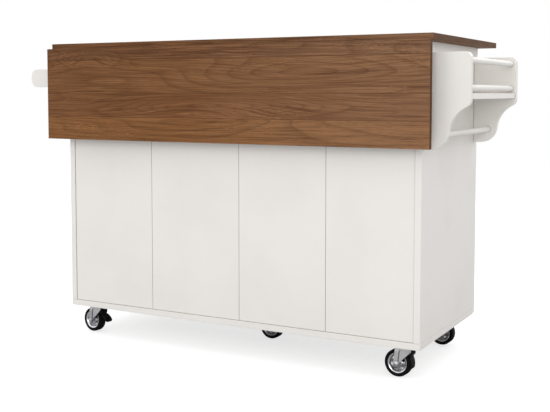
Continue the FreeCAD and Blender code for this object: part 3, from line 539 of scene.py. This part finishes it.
def turned(bm, matrix, profile, segments):
    # adds a solid turned about its own z: profile is (height, radius) from one end to the other
    rings = []
    for height, radius in profile:
        ring = []
        for step in range(segments):
            angle = 2 * math.pi * step / segments
            place = Vector((radius * math.cos(angle), radius * math.sin(angle), height))
            ring.append(bm.verts.new(matrix @ place))
        rings.append(ring)
    for ring, above in zip(rings, rings[1:]):
        for step in range(segments):
            after = (step + 1) % segments
            bm.faces.new((ring[step], ring[after], above[after], above[step]))
    bm.faces.new(list(reversed(rings[0])))
    bm.faces.new(rings[-1])


def easedLoop(points, ease, cuts=3):
    # rounds every corner of a closed outline
    rounded = []
    for number, corner in enumerate(points):
        corner = Vector(corner)
        before = Vector(points[number - 1]) - corner
        after = Vector(points[(number + 1) % len(points)]) - corner
        reach = min(ease, before.length * 0.49, after.length * 0.49)
        start = corner + before.normalized() * reach
        end = corner + after.normalized() * reach
        for cut in range(cuts + 1):
            share = cut / cuts
            rounded.append(start * (1 - share) ** 2 + corner * 2 * share * (1 - share) + end * share ** 2)
    return rounded


def sharpEdges(bm, degrees):
    return [edge for edge in bm.edges
            if len(edge.link_faces) == 2 and edge.calc_face_angle(0) > math.radians(degrees)]


def addSoftened(node, name, body, width, sharpDegrees=30):
    # stands for a machined part with a copy of it that has its sharp edges broken
    bm = bmesh.new()
    bm.from_mesh(nodes[node].data)
    bmesh.ops.remove_doubles(bm, verts=bm.verts, dist=2e-6)
    bmesh.ops.dissolve_limit(bm, angle_limit=math.radians(0.5), verts=bm.verts, edges=bm.edges)
    bmesh.ops.recalc_face_normals(bm, faces=bm.faces)
    bmesh.ops.bevel(bm, geom=sharpEdges(bm, sharpDegrees), offset=width, offset_type="OFFSET", segments=2,
                    profile=0.6, affect="EDGES", clamp_overlap=True)
    return addPiece(name, meshFrom(name, bm), slotNames[node], body, (node,))


# geometry node trees for what repeats

def geometryTree(name, inputs):
    sockets = {"Geometry": "NodeSocketGeometry", **inputs, "Material": "NodeSocketMaterial"}
    return nodeGroup(name, "GeometryNodeTree", sockets, ("Geometry",), "NodeSocketGeometry")


def endTree(tree, given, result, geometry, smooth):
    whole = made(tree, "GeometryNodeRealizeInstances", {"Geometry": geometry})
    shaded = made(tree, "GeometryNodeSetShadeSmooth", {"Geometry": whole, "Shade Smooth": smooth})
    painted = made(tree, "GeometryNodeSetMaterial", {"Geometry": shaded, "Material": given["Material"]})
    feed(tree, painted, result["Geometry"])


def moved(tree, geometry, **values):
    return made(tree, "GeometryNodeTransform", {"Geometry": geometry, **values})


def circleOf(tree, sides, radius):
    return made(tree, "GeometryNodeCurvePrimitiveCircle", {"Resolution": sides, "Radius": radius})


def placeOnPoints(tree, given, shape):
    # one copy of the shape on each point, its z along the point's own facing, turned at random about it
    facing = made(tree, "GeometryNodeInputNamedAttribute", {"Name": "facing"}, data_type="FLOAT_VECTOR")
    aligned = made(tree, "FunctionNodeAlignRotationToVector", {"Vector": facing}, axis="Z")
    spin = addNode(tree, "FunctionNodeRandomValue", {"Min": 0.0, "Max": 6.283, "Seed": given["Seed"]},
                   data_type="FLOAT")
    angle = next(socket for socket in spin.outputs if socket.enabled)
    about = made(tree, "FunctionNodeAxisAngleToRotation", {"Axis": (0, 0, 1), "Angle": angle})
    whole = made(tree, "FunctionNodeRotateRotation", {0: aligned, 1: about}, rotation_space="LOCAL")
    return made(tree, "GeometryNodeInstanceOnPoints", {
        "Points": given["Geometry"], "Instance": shape, "Rotation": whole})


def buildScrewTree():
    # a domed head, made of two cones, with a cross recess
    tree, given, result = geometryTree("crossHeadScrews", {
        "Head Radius": 3 * mm, "Head Height": 1.2 * mm, "Slot Width": 0.8 * mm, "Seed": 3})
    radius, height, slot = given["Head Radius"], given["Head Height"], given["Slot Width"]
    half = times(tree, height, 0.5)
    shoulder = times(tree, radius, 0.92)

    def cone(top, bottom):
        return made(tree, "GeometryNodeMeshCone", {
            "Vertices": 20, "Radius Top": top, "Radius Bottom": bottom, "Depth": half})

    skirt = cone(shoulder, radius)
    dome = moved(tree, cone(times(tree, radius, 0.6), shoulder), Translation=vectorOf(tree, z=half))
    head = tree.nodes.new("GeometryNodeMeshBoolean")
    head.operation = "UNION"
    for shape in (skirt, dome):
        tree.links.new(shape, head.inputs["Mesh 2"])
    cut = addNode(tree, "GeometryNodeMeshBoolean", {"Mesh 1": head.outputs[0]}, operation="DIFFERENCE")
    long, deep = times(tree, radius, 1.15), times(tree, height, 1.3)
    for width, length in ((long, slot), (slot, long)):
        bar = made(tree, "GeometryNodeMeshCube", {"Size": vectorOf(tree, width, length, deep)})
        tree.links.new(moved(tree, bar, Translation=vectorOf(tree, z=height)), cut.inputs["Mesh 2"])
    endTree(tree, given, result, placeOnPoints(tree, given, cut.outputs[0]), False)
    return tree


def buildButtonTree():
    # a plain round button: rivet heads, bumpers and caps
    tree, given, result = geometryTree("roundButtons", {"Radius": 4 * mm, "Height": 1.5 * mm, "Seed": 1})
    ball = made(tree, "GeometryNodeMeshUVSphere", {"Segments": 20, "Rings": 10, "Radius": 1.0})
    ball = moved(tree, ball, Scale=vectorOf(tree, given["Radius"], given["Radius"], given["Height"]))
    endTree(tree, given, result, placeOnPoints(tree, given, ball), True)
    return tree


def buildRodTree():
    # round rods along the edges given, each with a narrower tenon at its ends
    tree, given, result = geometryTree("roundRods", {
        "Radius": 8.5 * mm, "Shoulder": 1.5 * mm, "Tenon Share": 0.86, "Sides": 40, "Section Step": 1.4 * mm})
    edges = made(tree, "GeometryNodeMeshToCurve", {"Mesh": given["Geometry"]})
    path = made(tree, "GeometryNodeResampleCurve", {"Curve": edges, "Length": given["Section Step"]},
                mode="LENGTH")
    along = addNode(tree, "GeometryNodeSplineParameter").outputs["Length"]
    whole = addNode(tree, "GeometryNodeSplineLength").outputs["Length"]
    toEnd = calc(tree, "MINIMUM", along, calc(tree, "SUBTRACT", whole, along))
    share = remap(tree, calc(tree, "DIVIDE", toEnd, given["Shoulder"]), 0.4, 1.4, given["Tenon Share"], 1.0)
    swept = made(tree, "GeometryNodeCurveToMesh", {
        "Curve": path, "Profile Curve": circleOf(tree, given["Sides"], given["Radius"]), "Scale": share,
        "Fill Caps": True})
    endTree(tree, given, result, swept, True)
    return tree


def buildTyreTree():
    # a tyre: a rectangle with round shoulders, swept round the wheel, with a raised ring on each side
    tree, given, result = geometryTree("tyre", {
        "Tyre Radius": 37.5 * mm, "Tread Width": 26 * mm, "Wall": 9.5 * mm, "Shoulder": 4 * mm,
        "Ring Radius": 31 * mm, "Ring Thickness": 0.5 * mm, "Steps": 96})
    middle = calc(tree, "MULTIPLY_ADD", given["Wall"], -0.5, given["Tyre Radius"])
    section = made(tree, "GeometryNodeCurvePrimitiveQuadrilateral", {
        "Width": given["Wall"], "Height": given["Tread Width"]})
    section = made(tree, "GeometryNodeFilletCurve", {
        "Curve": section, "Radius": given["Shoulder"], "Count": 6, "Limit Radius": True}, mode="POLY")
    body = made(tree, "GeometryNodeCurveToMesh", {
        "Curve": circleOf(tree, given["Steps"], middle), "Profile Curve": section})
    ring = made(tree, "GeometryNodeCurveToMesh", {
        "Curve": circleOf(tree, given["Steps"], given["Ring Radius"]),
        "Profile Curve": circleOf(tree, 8, given["Ring Thickness"])})
    joined = tree.nodes.new("GeometryNodeJoinGeometry")
    tree.links.new(body, joined.inputs[0])
    for side in (0.5, -0.5):
        offset = vectorOf(tree, z=times(tree, given["Tread Width"], side))
        tree.links.new(moved(tree, ring, Translation=offset), joined.inputs[0])
    endTree(tree, given, result, joined.outputs[0], True)
    return tree


screwTree = buildScrewTree()
buttonTree = buildButtonTree()
rodTree = buildRodTree()
tyreTree = buildTyreTree()


def runTree(name, tree, mesh, slotName, **values):
    # gives the plain mesh that the tree makes from the mesh
    carrier = newObject(name, mesh)
    modifier = carrier.modifiers.new(name, "NODES")
    modifier.node_group = tree
    values["Material"] = finishes[slotName]
    for item in tree.interface.items_tree:
        if item.in_out == "INPUT" and item.name in values:
            modifier[item.identifier] = values[item.name]
    result = bpy.data.meshes.new_from_object(carrier.evaluated_get(bpy.context.evaluated_depsgraph_get()))
    carrier.modifiers.remove(modifier)
    bpy.data.objects.remove(carrier)
    result.name = name
    return result


def pointMesh(name, places):
    # places are (position, facing) pairs
    mesh = bpy.data.meshes.new(name)
    mesh.from_pydata([position for position, facing in places], [], [])
    attribute = mesh.attributes.new("facing", "FLOAT_VECTOR", "POINT")
    attribute.data.foreach_set("vector", [value for position, facing in places for value in facing])
    return mesh


def addOnPoints(name, body, slotName, tree, places, sizes):
    addPiece(name, runTree(name, tree, pointMesh(name, places), slotName, **sizes), slotName, body)


# rods of the spice rack and the towel racks

rodShape = {"Radius": 8.5 * mm, "Shoulder": 1.5 * mm, "Tenon Share": 0.86, "Sides": 40,
            "Section Step": 1.4 * mm}


def rodCentres(node):
    # centre of each rod in a group of parallel rods, found from its round ends
    reach = 2.2 * rodShape["Radius"]
    corners = [vertex.co for vertex in nodes[node].data.vertices]
    lowest = min(point.y for point in corners)
    ends = [point for point in corners if point.y < lowest + 1e-5]
    centres = []
    while ends:
        first = ends[0]
        own = [point for point in ends if (point - first).length < reach]
        ends = [point for point in ends if (point - first).length >= reach]
        xs, zs = [point.x for point in own], [point.z for point in own]
        centres.append(((min(xs) + max(xs)) / 2, (min(zs) + max(zs)) / 2))
    return centres


for rodNode, rodName in (("rack_rods", "rackRails"), ("towel_rods", "towelRails")):
    low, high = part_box(rodNode)
    points, spans = [], []
    for x, z in rodCentres(rodNode):
        spans.append((len(points), len(points) + 1))
        points += [(x, low.y, z), (x, high.y, z)]
    rodPath = bpy.data.meshes.new(rodName)
    rodPath.from_pydata(points, spans, [])
    rods = runTree(rodName, rodTree, rodPath, "white_rod", **rodShape)
    addPiece(rodName, rods, "white_rod", "cabinet", (rodNode,))
print("island: rods made")


# casters

tyreShape = {"Tyre Radius": 37.5 * mm, "Tread Width": 26 * mm, "Wall": 9.6 * mm, "Shoulder": 4.4 * mm,
             "Ring Radius": 31.5 * mm, "Ring Thickness": 0.5 * mm}
rimShape = {"radius": 28 * mm, "halfWidth": 11.6 * mm, "lip": 1.7 * mm, "dishDepth": 8.4 * mm,
            "dishRadius": 21 * mm, "hubCollar": 12 * mm, "hubRadius": 8 * mm, "hubHalf": 13.7 * mm,
            "bore": 4.1 * mm, "ribs": 5, "ribHeight": 3.4 * mm, "corner": 1.2 * mm, "steps": 90}
# reach is half the crown's length, half is half the width over the legs, and rake is in degrees;
# the lifts are shares of raised for the points across a leg, from its back edge to its front edge
forkShape = {"reach": 23 * mm, "half": 17 * mm, "sheet": 2.5 * mm, "crown": 4.5 * mm, "bend": 4 * mm,
             "innerBend": 1.4 * mm, "raised": 1.3 * mm, "stripWidth": 11.8 * mm, "stripMost": 0.72,
             "creaseRun": 2.8 * mm, "creaseMost": 0.14, "fadeDrop": 5 * mm, "fadeRun": 6 * mm,
             "outerLifts": (1, 1, 1, 1, -0.8, -0.8, 0, 0, 0, 0),
             "innerLifts": (1, 1, 1, 1, 0.7, 0.3, 0, 0, 0, 0),
             "shoulderDrop": 8.5 * mm, "rake": 26, "footShare": 0.995, "edgeEase": 0.35 * mm,
             "legRows": 16, "footRows": 9, "bendRows": 5}
boltShape = {"washerRadius": 7.4 * mm, "washer": 1.0 * mm, "headRadius": 6.6 * mm, "head": 2.9 * mm,
             "shankRadius": 4 * mm, "shankEnd": 1.2 * mm}
brakedCasters = (1, 2)
brakeEase = 0.5 * mm


def casterMatrix(number):
    # from a caster's own axes, swivel at the origin and rolling along +x, to its place
    swivel = jointPlaces[f"caster_{number}_swivel"]
    ahead = swivel - jointPlaces[f"wheel_{number}_spin"]
    return Matrix.Translation((swivel.x, swivel.y, 0)) @ Matrix.Rotation(math.atan2(ahead.y, ahead.x), 4, "Z")


wheelHeight = jointPlaces["wheel_1_spin"].z
trail = (jointPlaces["caster_1_swivel"].xy - jointPlaces["wheel_1_spin"].xy).length
toAxle = Matrix.Translation((-trail, 0, wheelHeight)) @ Matrix.Rotation(math.radians(90), 4, "X")
forkLow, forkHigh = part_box("caster_fork_1")
crownTop = forkHigh.z
footRadius = wheelHeight - forkLow.z


def rimMesh():
    # a pressed wheel centre: rolled lip, dished web with shallow ribs, collar and hub
    shape = rimShape
    face = shape["halfWidth"]
    dish = face - shape["dishDepth"]
    seat = shape["radius"] - shape["lip"]
    # one face from the bore out to the lip: place along the axle, radius, share of the ribs' height
    side = [(shape["hubHalf"], shape["bore"], 0), (shape["hubHalf"], shape["hubRadius"], 0),
            (face - 2.2 * mm, shape["hubRadius"] + 0.6 * mm, 0), (face - 3.6 * mm, shape["hubCollar"], 0.1),
            (dish + 0.6 * mm, shape["hubCollar"] + 2.6 * mm, 1.0),
            (dish, shape["dishRadius"] - 2.6 * mm, 1.0),
            (dish + 0.8 * mm, shape["dishRadius"], 0.5), (face - 1.6 * mm, seat - 2.0 * mm, 0),
            (face - 0.5 * mm, seat - 0.4 * mm, 0), (face, seat + shape["lip"] / 2, 0),
            (face - 0.6 * mm, shape["radius"], 0)]
    loop = side + [(-along, radius, rib) for along, radius, rib in reversed(side)]
    outline = easedLoop(loop, shape["corner"])
    bm = bmesh.new()
    rings = []
    for step in range(shape["steps"]):
        angle = 2 * math.pi * step / shape["steps"]
        swell = 0.5 + 0.5 * math.cos(shape["ribs"] * angle)
        ring = []
        for along, radius, rib in outline:
            lift = math.copysign(swell * shape["ribHeight"] * rib, along)
            ring.append(bm.verts.new((radius * math.cos(angle), radius * math.sin(angle), along + lift)))
        rings.append(ring)
    for ring, after in zip(rings, rings[1:] + rings[:1]):
        for number in range(len(outline)):
            following = (number + 1) % len(outline)
            bm.faces.new((ring[number], ring[following], after[following], after[number]))
    return meshFrom("rim", bm, 40)


def legEdges(height):
    # back and front edge of a fork leg at a height above the floor
    shape = forkShape
    rake = math.radians(shape["rake"])
    shoulder = (shape["reach"], crownTop - shape["shoulderDrop"])
    footFront = (-trail + footRadius * math.cos(rake), wheelHeight + footRadius * math.sin(rake))
    drop = height - wheelHeight
    footHalf = math.sqrt(max(footRadius ** 2 - drop ** 2, 0.0))
    if drop < 0:
        back = -trail - footHalf
    else:
        share = drop / (crownTop - wheelHeight)
        back = (-trail - footRadius) * (1 - share) - shape["reach"] * share
    if height < footFront[1]:
        front = -trail + footHalf
    elif height < shoulder[1]:
        share = (height - footFront[1]) / (shoulder[1] - footFront[1])
        front = footFront[0] * (1 - share) + shoulder[0] * share
    else:
        front = shape["reach"]
    return back, front


def forkMesh():
    # one pressed sheet over both legs and the crown, with a raised strip and a groove on each leg
    shape = forkShape
    footReach = footRadius * shape["footShare"]
    heights = [wheelHeight - footReach * math.cos(math.pi / 2 * step / shape["footRows"])
               for step in range(shape["footRows"])]
    bendStart = crownTop - shape["bend"]
    heights += [wheelHeight + (bendStart - wheelHeight) * step / shape["legRows"]
                for step in range(shape["legRows"] + 1)]

    def crossSection(half, top, bend):
        # points from the middle of the crown down to the foot, as (y, z, outward y)
        points = [(0.0, top, 0.0)]
        for step in range(shape["bendRows"] + 1):
            angle = math.pi / 2 * (1 - step / shape["bendRows"])
            points.append((half - bend + bend * math.cos(angle), top - bend + bend * math.sin(angle), 0.0))
        points += [(half, height, 1.0) for height in reversed(heights[:-1])]
        return points

    outer = crossSection(shape["half"], crownTop, shape["bend"])
    inner = crossSection(shape["half"] - shape["sheet"], crownTop - shape["crown"], shape["innerBend"])
    shares = [0.0, 0.33, 0.66, 1.0]

    def legRows(section, lifts, mirror):
        # one row of points across the leg for each point of the section
        grid = []
        for y, z, outward in section:
            back, front = legEdges(z)
            width = front - back
            strip = back + min(shape["stripWidth"], shape["stripMost"] * width)
            crease = strip + min(shape["creaseRun"], shape["creaseMost"] * width)
            columns = [back + (strip - back) * share for share in shares]
            columns += [strip + (crease - strip) * share for share in shares[1:]]
            columns += [crease + (front - crease) * share for share in shares[1:]]
            below = crownTop - shape["fadeDrop"] - z
            fade = outward * min(1.0, max(0.0, below / shape["fadeRun"]))
            row = [(x, mirror * (y + shape["raised"] * lift * fade), z) for x, lift in zip(columns, lifts)]
            grid.append([bm.verts.new(place) for place in row])
        return grid

    bm = bmesh.new()
    for mirror in (1, -1):
        outside = legRows(outer, shape["outerLifts"], mirror)
        inside = legRows(inner, shape["innerLifts"], mirror)
        for grid in (outside, inside):
            for row, below in zip(grid, grid[1:]):
                for column in range(len(row) - 1):
                    bm.faces.new((row[column], row[column + 1], below[column + 1], below[column]))
        for number in range(len(outside) - 1):
            for column in (0, -1):
                bm.faces.new((outside[number][column], outside[number + 1][column],
                              inside[number + 1][column], inside[number][column]))
        for column in range(len(outside[-1]) - 1):
            bm.faces.new((outside[-1][column], outside[-1][column + 1],
                          inside[-1][column + 1], inside[-1][column]))
    bmesh.ops.remove_doubles(bm, verts=bm.verts, dist=2e-6)
    bmesh.ops.recalc_face_normals(bm, faces=bm.faces)
    bmesh.ops.bevel(bm, geom=sharpEdges(bm, 50), offset=shape["edgeEase"], segments=2, affect="EDGES",
                    clamp_overlap=True)
    addBolt(bm)
    return meshFrom("fork", bm, 38)


def addBolt(bm):
    # washer, six-sided head and shank end on each side, and the shank through the hub
    bolt = boltShape
    face = forkShape["half"] + forkShape["raised"]
    start = face + bolt["washer"]
    top = start + bolt["head"]
    end = top + bolt["shankEnd"]
    washer, head, shank = bolt["washerRadius"], bolt["headRadius"], bolt["shankRadius"]
    for flip in (0, math.pi):
        seat = toAxle @ Matrix.Rotation(flip, 4, "X")
        turned(bm, seat, [(face - 0.2 * mm, washer - 0.3 * mm), (face, washer), (start - 0.2 * mm, washer),
                          (start, washer - 0.3 * mm)], 28)
        turned(bm, seat, [(start, head), (top - 0.7 * mm, head), (top, head - 1.1 * mm)], 6)
        turned(bm, seat, [(start, shank), (end - 0.5 * mm, shank), (end, shank - 0.7 * mm)], 20)
    turned(bm, toAxle, [(-forkShape["half"], shank), (forkShape["half"], shank)], 24)


tyre = runTree("tyre", tyreTree, bpy.data.meshes.new("nothing"), "tyre_rubber", **tyreShape)
rim = rimMesh()
fork = forkMesh()
for number in casterNumbers:
    for source, name, slotName, body, node, inFork in (
            (tyre, "tyre", "tyre_rubber", "wheel", "caster_tyre", toAxle),
            (rim, "wheelCentre", "rim_chrome", "wheel", "caster_rim", toAxle),
            (fork, "fork", "caster_zinc", "caster", "caster_fork", Matrix.Identity(4))):
        mesh = source.copy()
        mesh.transform(casterMatrix(number) @ inFork)
        addPiece(f"{name}_{number}", mesh, slotName, f"{body}_{number}", (f"{node}_{number}",))
for number in brakedCasters:
    addSoftened(f"brake_hood_{number}", f"brakeGuard_{number}", f"caster_{number}", brakeEase)
    addSoftened(f"brake_pedal_{number}", f"brakeStep_{number}", f"pedal_{number}", brakeEase)
print("island: casters made")


# hinges, stays and their screws

hardwareEase = 0.2 * mm
leafHinge = {"count": 4, "length": 60 * mm, "sheet": 1.5 * mm, "knuckleReach": 3.6 * mm,
             "screws": ((10 * mm, -3.5 * mm), (30 * mm, 3.5 * mm), (50 * mm, -3.5 * mm))}
leafStay = {"width": 12 * mm, "bracketSheet": 3 * mm, "bracketScrew": (9.5 * mm, 22 * mm),
            "railSheet": 2 * mm, "railScrewAcross": 7.6 * mm, "railScrewFromEnd": 8 * mm,
            "pinProud": 2.3 * mm}
doorHinge = {"fromDoorEnd": 100 * mm, "armPlate": 2 * mm, "armPlateMiddle": 34 * mm, "screwRise": 16.5 * mm}
casterPlate = {"sheet": 2.5 * mm, "boltPlace": 25 * mm}
drawerBox = {"front": 15 * mm, "screwFromEnd": 90 * mm, "screwFromBottom": 32 * mm, "screwFromTop": 20 * mm}
bumper = {"radius": 3.4 * mm, "height": 1.4 * mm, "inset": 26 * mm, "topDrop": 3.7 * mm, "bottomRise": 8 * mm}
leafScrew = {"Head Radius": 2.9 * mm, "Head Height": 1.0 * mm, "Slot Width": 0.8 * mm, "Seed": 3}
plateBolt = {"Head Radius": 4.6 * mm, "Head Height": 2.0 * mm, "Slot Width": 1.2 * mm, "Seed": 3}
rivet = {"Radius": 4.2 * mm, "Height": 1.1 * mm, "Seed": 1}
bumperButton = {"Radius": bumper["radius"], "Height": bumper["height"], "Seed": 1}

for node, name, body in (
        ("leaf_hinge_fixed", "topHinges", "cabinet"), ("leaf_hinge_plates", "leafHinges", "leaf"),
        ("stay_brackets", "stayBrackets", "cabinet"), ("stay_left", "leftStay", "left_stay"),
        ("stay_right", "rightStay", "right_stay"), ("leaf_stay_rails", "stayRails", "leaf"),
        ("door_hinge_arms", "hingeArms", "cabinet")):
    addSoftened(node, name, body, hardwareEase)


def screwLeafHinges():
    plateLow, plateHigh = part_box("leaf_hinge_plates")
    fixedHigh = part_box("leaf_hinge_fixed")[1]
    axis = jointPlaces["leaf_fold"]
    middle = (plateLow.z + axis.z - leafHinge["knuckleReach"]) / 2
    back = (fixedHigh.y + axis.y + leafHinge["knuckleReach"]) / 2
    onLeaf, onTop = [], []
    apart = (plateHigh.x - leafHinge["length"] - plateLow.x) / (leafHinge["count"] - 1)
    for hinge in range(leafHinge["count"]):
        start = plateLow.x + apart * hinge
        for along, stagger in leafHinge["screws"]:
            onLeaf.append(((start + along, plateLow.y + leafHinge["sheet"], middle + stagger), (0, 1, 0)))
            onTop.append(((start + along, back + stagger, fixedHigh.z - leafHinge["sheet"]), (0, 0, -1)))
    addOnPoints("leafHingeScrews", "leaf", "hinge_steel", screwTree, onLeaf, leafScrew)
    addOnPoints("topHingeScrews", "cabinet", "hinge_steel", screwTree, onTop, leafScrew)


def screwStays():
    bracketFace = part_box("stay_brackets")[1].y - leafStay["bracketSheet"]
    railLow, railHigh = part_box("leaf_stay_rails")
    across, rise = leafStay["bracketScrew"]
    onCabinet, onLeaf, pivots = [], [], []
    for side in ("left", "right"):
        pivot = jointPlaces[f"{side}_stay_fold"]
        for x in (-across, across):
            for z in (-rise, rise):
                onCabinet.append(((pivot.x + x, bracketFace, pivot.z + z), (0, -1, 0)))
        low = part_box(f"stay_{side}")[0]
        free = (low.x, low.y + leafStay["width"] / 2, low.z + leafStay["width"] / 2)
        addOnPoints(f"{side}StudHead", f"{side}_stay", "stay_steel", buttonTree, [(free, (-1, 0, 0))], rivet)
        reach = pivot.x - low.x + leafStay["pinProud"]
        pivots += [((pivot.x + way * reach, pivot.y, pivot.z), (way, 0, 0)) for way in (-1, 1)]
    for start in (railLow.x, railHigh.x - leafStay["width"]):
        for z in (railLow.z + leafStay["railScrewFromEnd"], (railLow.z + railHigh.z) / 2,
                  railHigh.z - leafStay["railScrewFromEnd"]):
            place = (start + leafStay["railScrewAcross"], railLow.y + leafStay["railSheet"], z)
            onLeaf.append((place, (0, 1, 0)))
    addOnPoints("bracketScrews", "cabinet", "stay_steel", screwTree, onCabinet, leafScrew)
    addOnPoints("railScrews", "leaf", "stay_steel", screwTree, onLeaf, leafScrew)
    addOnPoints("pivotHeads", "cabinet", "stay_steel", buttonTree, pivots, rivet)


def screwCasters():
    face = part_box("caster_plates")[1].z - casterPlate["sheet"]
    offsets = (-casterPlate["boltPlace"], casterPlate["boltPlace"])
    places = []
    for number in casterNumbers:
        swivel = jointPlaces[f"caster_{number}_swivel"]
        places += [((swivel.x + across, swivel.y + along, face), (0, 0, -1))
                   for across in offsets for along in offsets]
    addOnPoints("casterBolts", "cabinet", "caster_zinc", screwTree, places, plateBolt)


def screwDoors():
    # the arm plates' screws, and two bumpers on the latch side of each door
    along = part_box("door_hinge_arms")[1].y - doorHinge["armPlateMiddle"]
    walls = [(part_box("side_panel_left")[1].x, 1), (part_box("centre_divider")[0].x, -1),
             (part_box("centre_divider")[1].x, 1), (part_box("side_panel_right")[0].x, -1)]
    armScrews = []
    for number, (wall, inward) in zip((1, 2, 3, 4), walls):
        low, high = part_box(f"door_{number}")
        face = wall + inward * doorHinge["armPlate"]
        for height in (low.z + doorHinge["fromDoorEnd"], high.z - doorHinge["fromDoorEnd"]):
            armScrews += [((face, along, height + rise), (inward, 0, 0))
                          for rise in (-doorHinge["screwRise"], doorHinge["screwRise"])]
        latch = high.x - bumper["inset"] if inward > 0 else low.x + bumper["inset"]
        pads = [((latch, low.y, z), (0, -1, 0))
                for z in (high.z - bumper["topDrop"], low.z + bumper["bottomRise"])]
        addOnPoints(f"bumpers_{number}", f"door_{number}", "white_rod", buttonTree, pads, bumperButton)
    addOnPoints("armScrews", "cabinet", "hinge_steel", screwTree, armScrews, leafScrew)


def screwDrawers():
    for side in ("left", "right"):
        low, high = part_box(f"drawer_box_{side}")
        xs = (low.x + drawerBox["screwFromEnd"], (low.x + high.x) / 2, high.x - drawerBox["screwFromEnd"])
        zs = (low.z + drawerBox["screwFromBottom"], high.z - drawerBox["screwFromTop"])
        places = [((x, high.y - drawerBox["front"], z), (0, -1, 0)) for x in xs for z in zs]
        addOnPoints(f"{side}DrawerScrews", f"drawer_{side}", "hinge_steel", screwTree, places, leafScrew)


screwLeafHinges()
screwStays()
screwCasters()
screwDoors()
screwDrawers()
print("island: hinges, stays and screws made")


# floor, light and camera

stageLook = {"floorSize": 14.0, "diffuse": 0.50, "lift": 0.66, "world": 0.94}
# each lamp: where it stands, how wide and high it is, and its power in watts
lamps = {
    "frontLeftSoftbox": ((-1.8, -4.2, 2.1), 2.4, 2.0, 16.0),
    "frontRightSoftbox": ((2.0, -4.4, 1.6), 3.0, 2.2, 52.0),
    "rightSoftbox": ((4.2, -0.9, 1.5), 2.4, 2.0, 3.0),
    "backSoftbox": ((1.2, 4.6, 2.4), 3.2, 2.2, 50.0),
    "leftSoftbox": ((-4.4, 0.8, 2.0), 2.6, 2.2, 24.0),
    "topSoftbox": ((0.2, -0.3, 4.2), 3.0, 2.0, 20.0),
}
lampAim = (0, 0, 0.5)
cameraLook = {"place": (1.4195, -2.5764, 0.7637), "yaw": 28.265, "down": 3.847, "lens": 62.119,
              "shiftY": -0.09}


def buildFloor():
    half = stageLook["floorSize"] / 2
    mesh = bpy.data.meshes.new("floor")
    corners = [(-half, -half, 0), (half, -half, 0), (half, half, 0), (-half, half, 0)]
    mesh.from_pydata(corners, [], [(0, 1, 2, 3)])
    material = bpy.data.materials.new("paleFloor")
    tree = clearedTree(material)
    seen = tree.nodes.new("ShaderNodeLightPath").outputs["Is Camera Ray"]
    share = stageLook["diffuse"]
    plain = made(tree, "ShaderNodeBsdfDiffuse", {"Color": (share, share, share, 1)})
    glow = made(tree, "ShaderNodeEmission", {"Color": (1, 1, 1, 1), "Strength": stageLook["lift"]})
    both = made(tree, "ShaderNodeAddShader", {0: plain, 1: glow})
    mixed = made(tree, "ShaderNodeMixShader", {0: seen, 1: plain, 2: both})
    tree.links.new(mixed, tree.nodes.new("ShaderNodeOutputMaterial").inputs["Surface"])
    mesh.materials.append(material)
    floor = newObject("floor", mesh)


def lookRay(tree):
    # 1 for rays that come from the camera or by way of metal and glass
    path = tree.nodes.new("ShaderNodeLightPath").outputs
    seen = calc(tree, "MAXIMUM", path["Is Camera Ray"], path["Is Glossy Ray"])
    return calc(tree, "MAXIMUM", seen, path["Is Transmission Ray"])


def buildWorld():
    world = bpy.data.worlds.new("studio")
    bpy.context.scene.world = world
    tree = clearedTree(world)
    strength = remap(tree, lookRay(tree), 0.0, 1.0, stageLook["world"], 1.0)
    background = made(tree, "ShaderNodeBackground", {"Color": (1, 1, 1, 1), "Strength": strength})
    tree.links.new(background, tree.nodes.new("ShaderNodeOutputWorld").inputs["Surface"])


def buildLamps():
    for name, (place, width, height, power) in lamps.items():
        light = bpy.data.lights.new(name, "AREA")
        light.shape = "RECTANGLE"
        light.size, light.size_y = width, height
        light.energy = power
        lamp = newObject(name, light)
        lamp.location = place
        lamp.rotation_euler = (Vector(lampAim) - Vector(place)).to_track_quat("-Z", "Y").to_euler()


def buildCamera():
    look = cameraLook
    data = bpy.data.cameras.new("camera")
    data.lens = look["lens"]
    data.shift_y = look["shiftY"]
    camera = newObject("camera", data)
    camera.location = look["place"]
    camera.rotation_euler = (math.radians(90 - look["down"]), 0, math.radians(look["yaw"]))
    bpy.context.scene.camera = camera


buildFloor()
buildWorld()
buildLamps()
buildCamera()
bpy.context.scene.view_settings.view_transform = "Standard"
print("island: stage set")
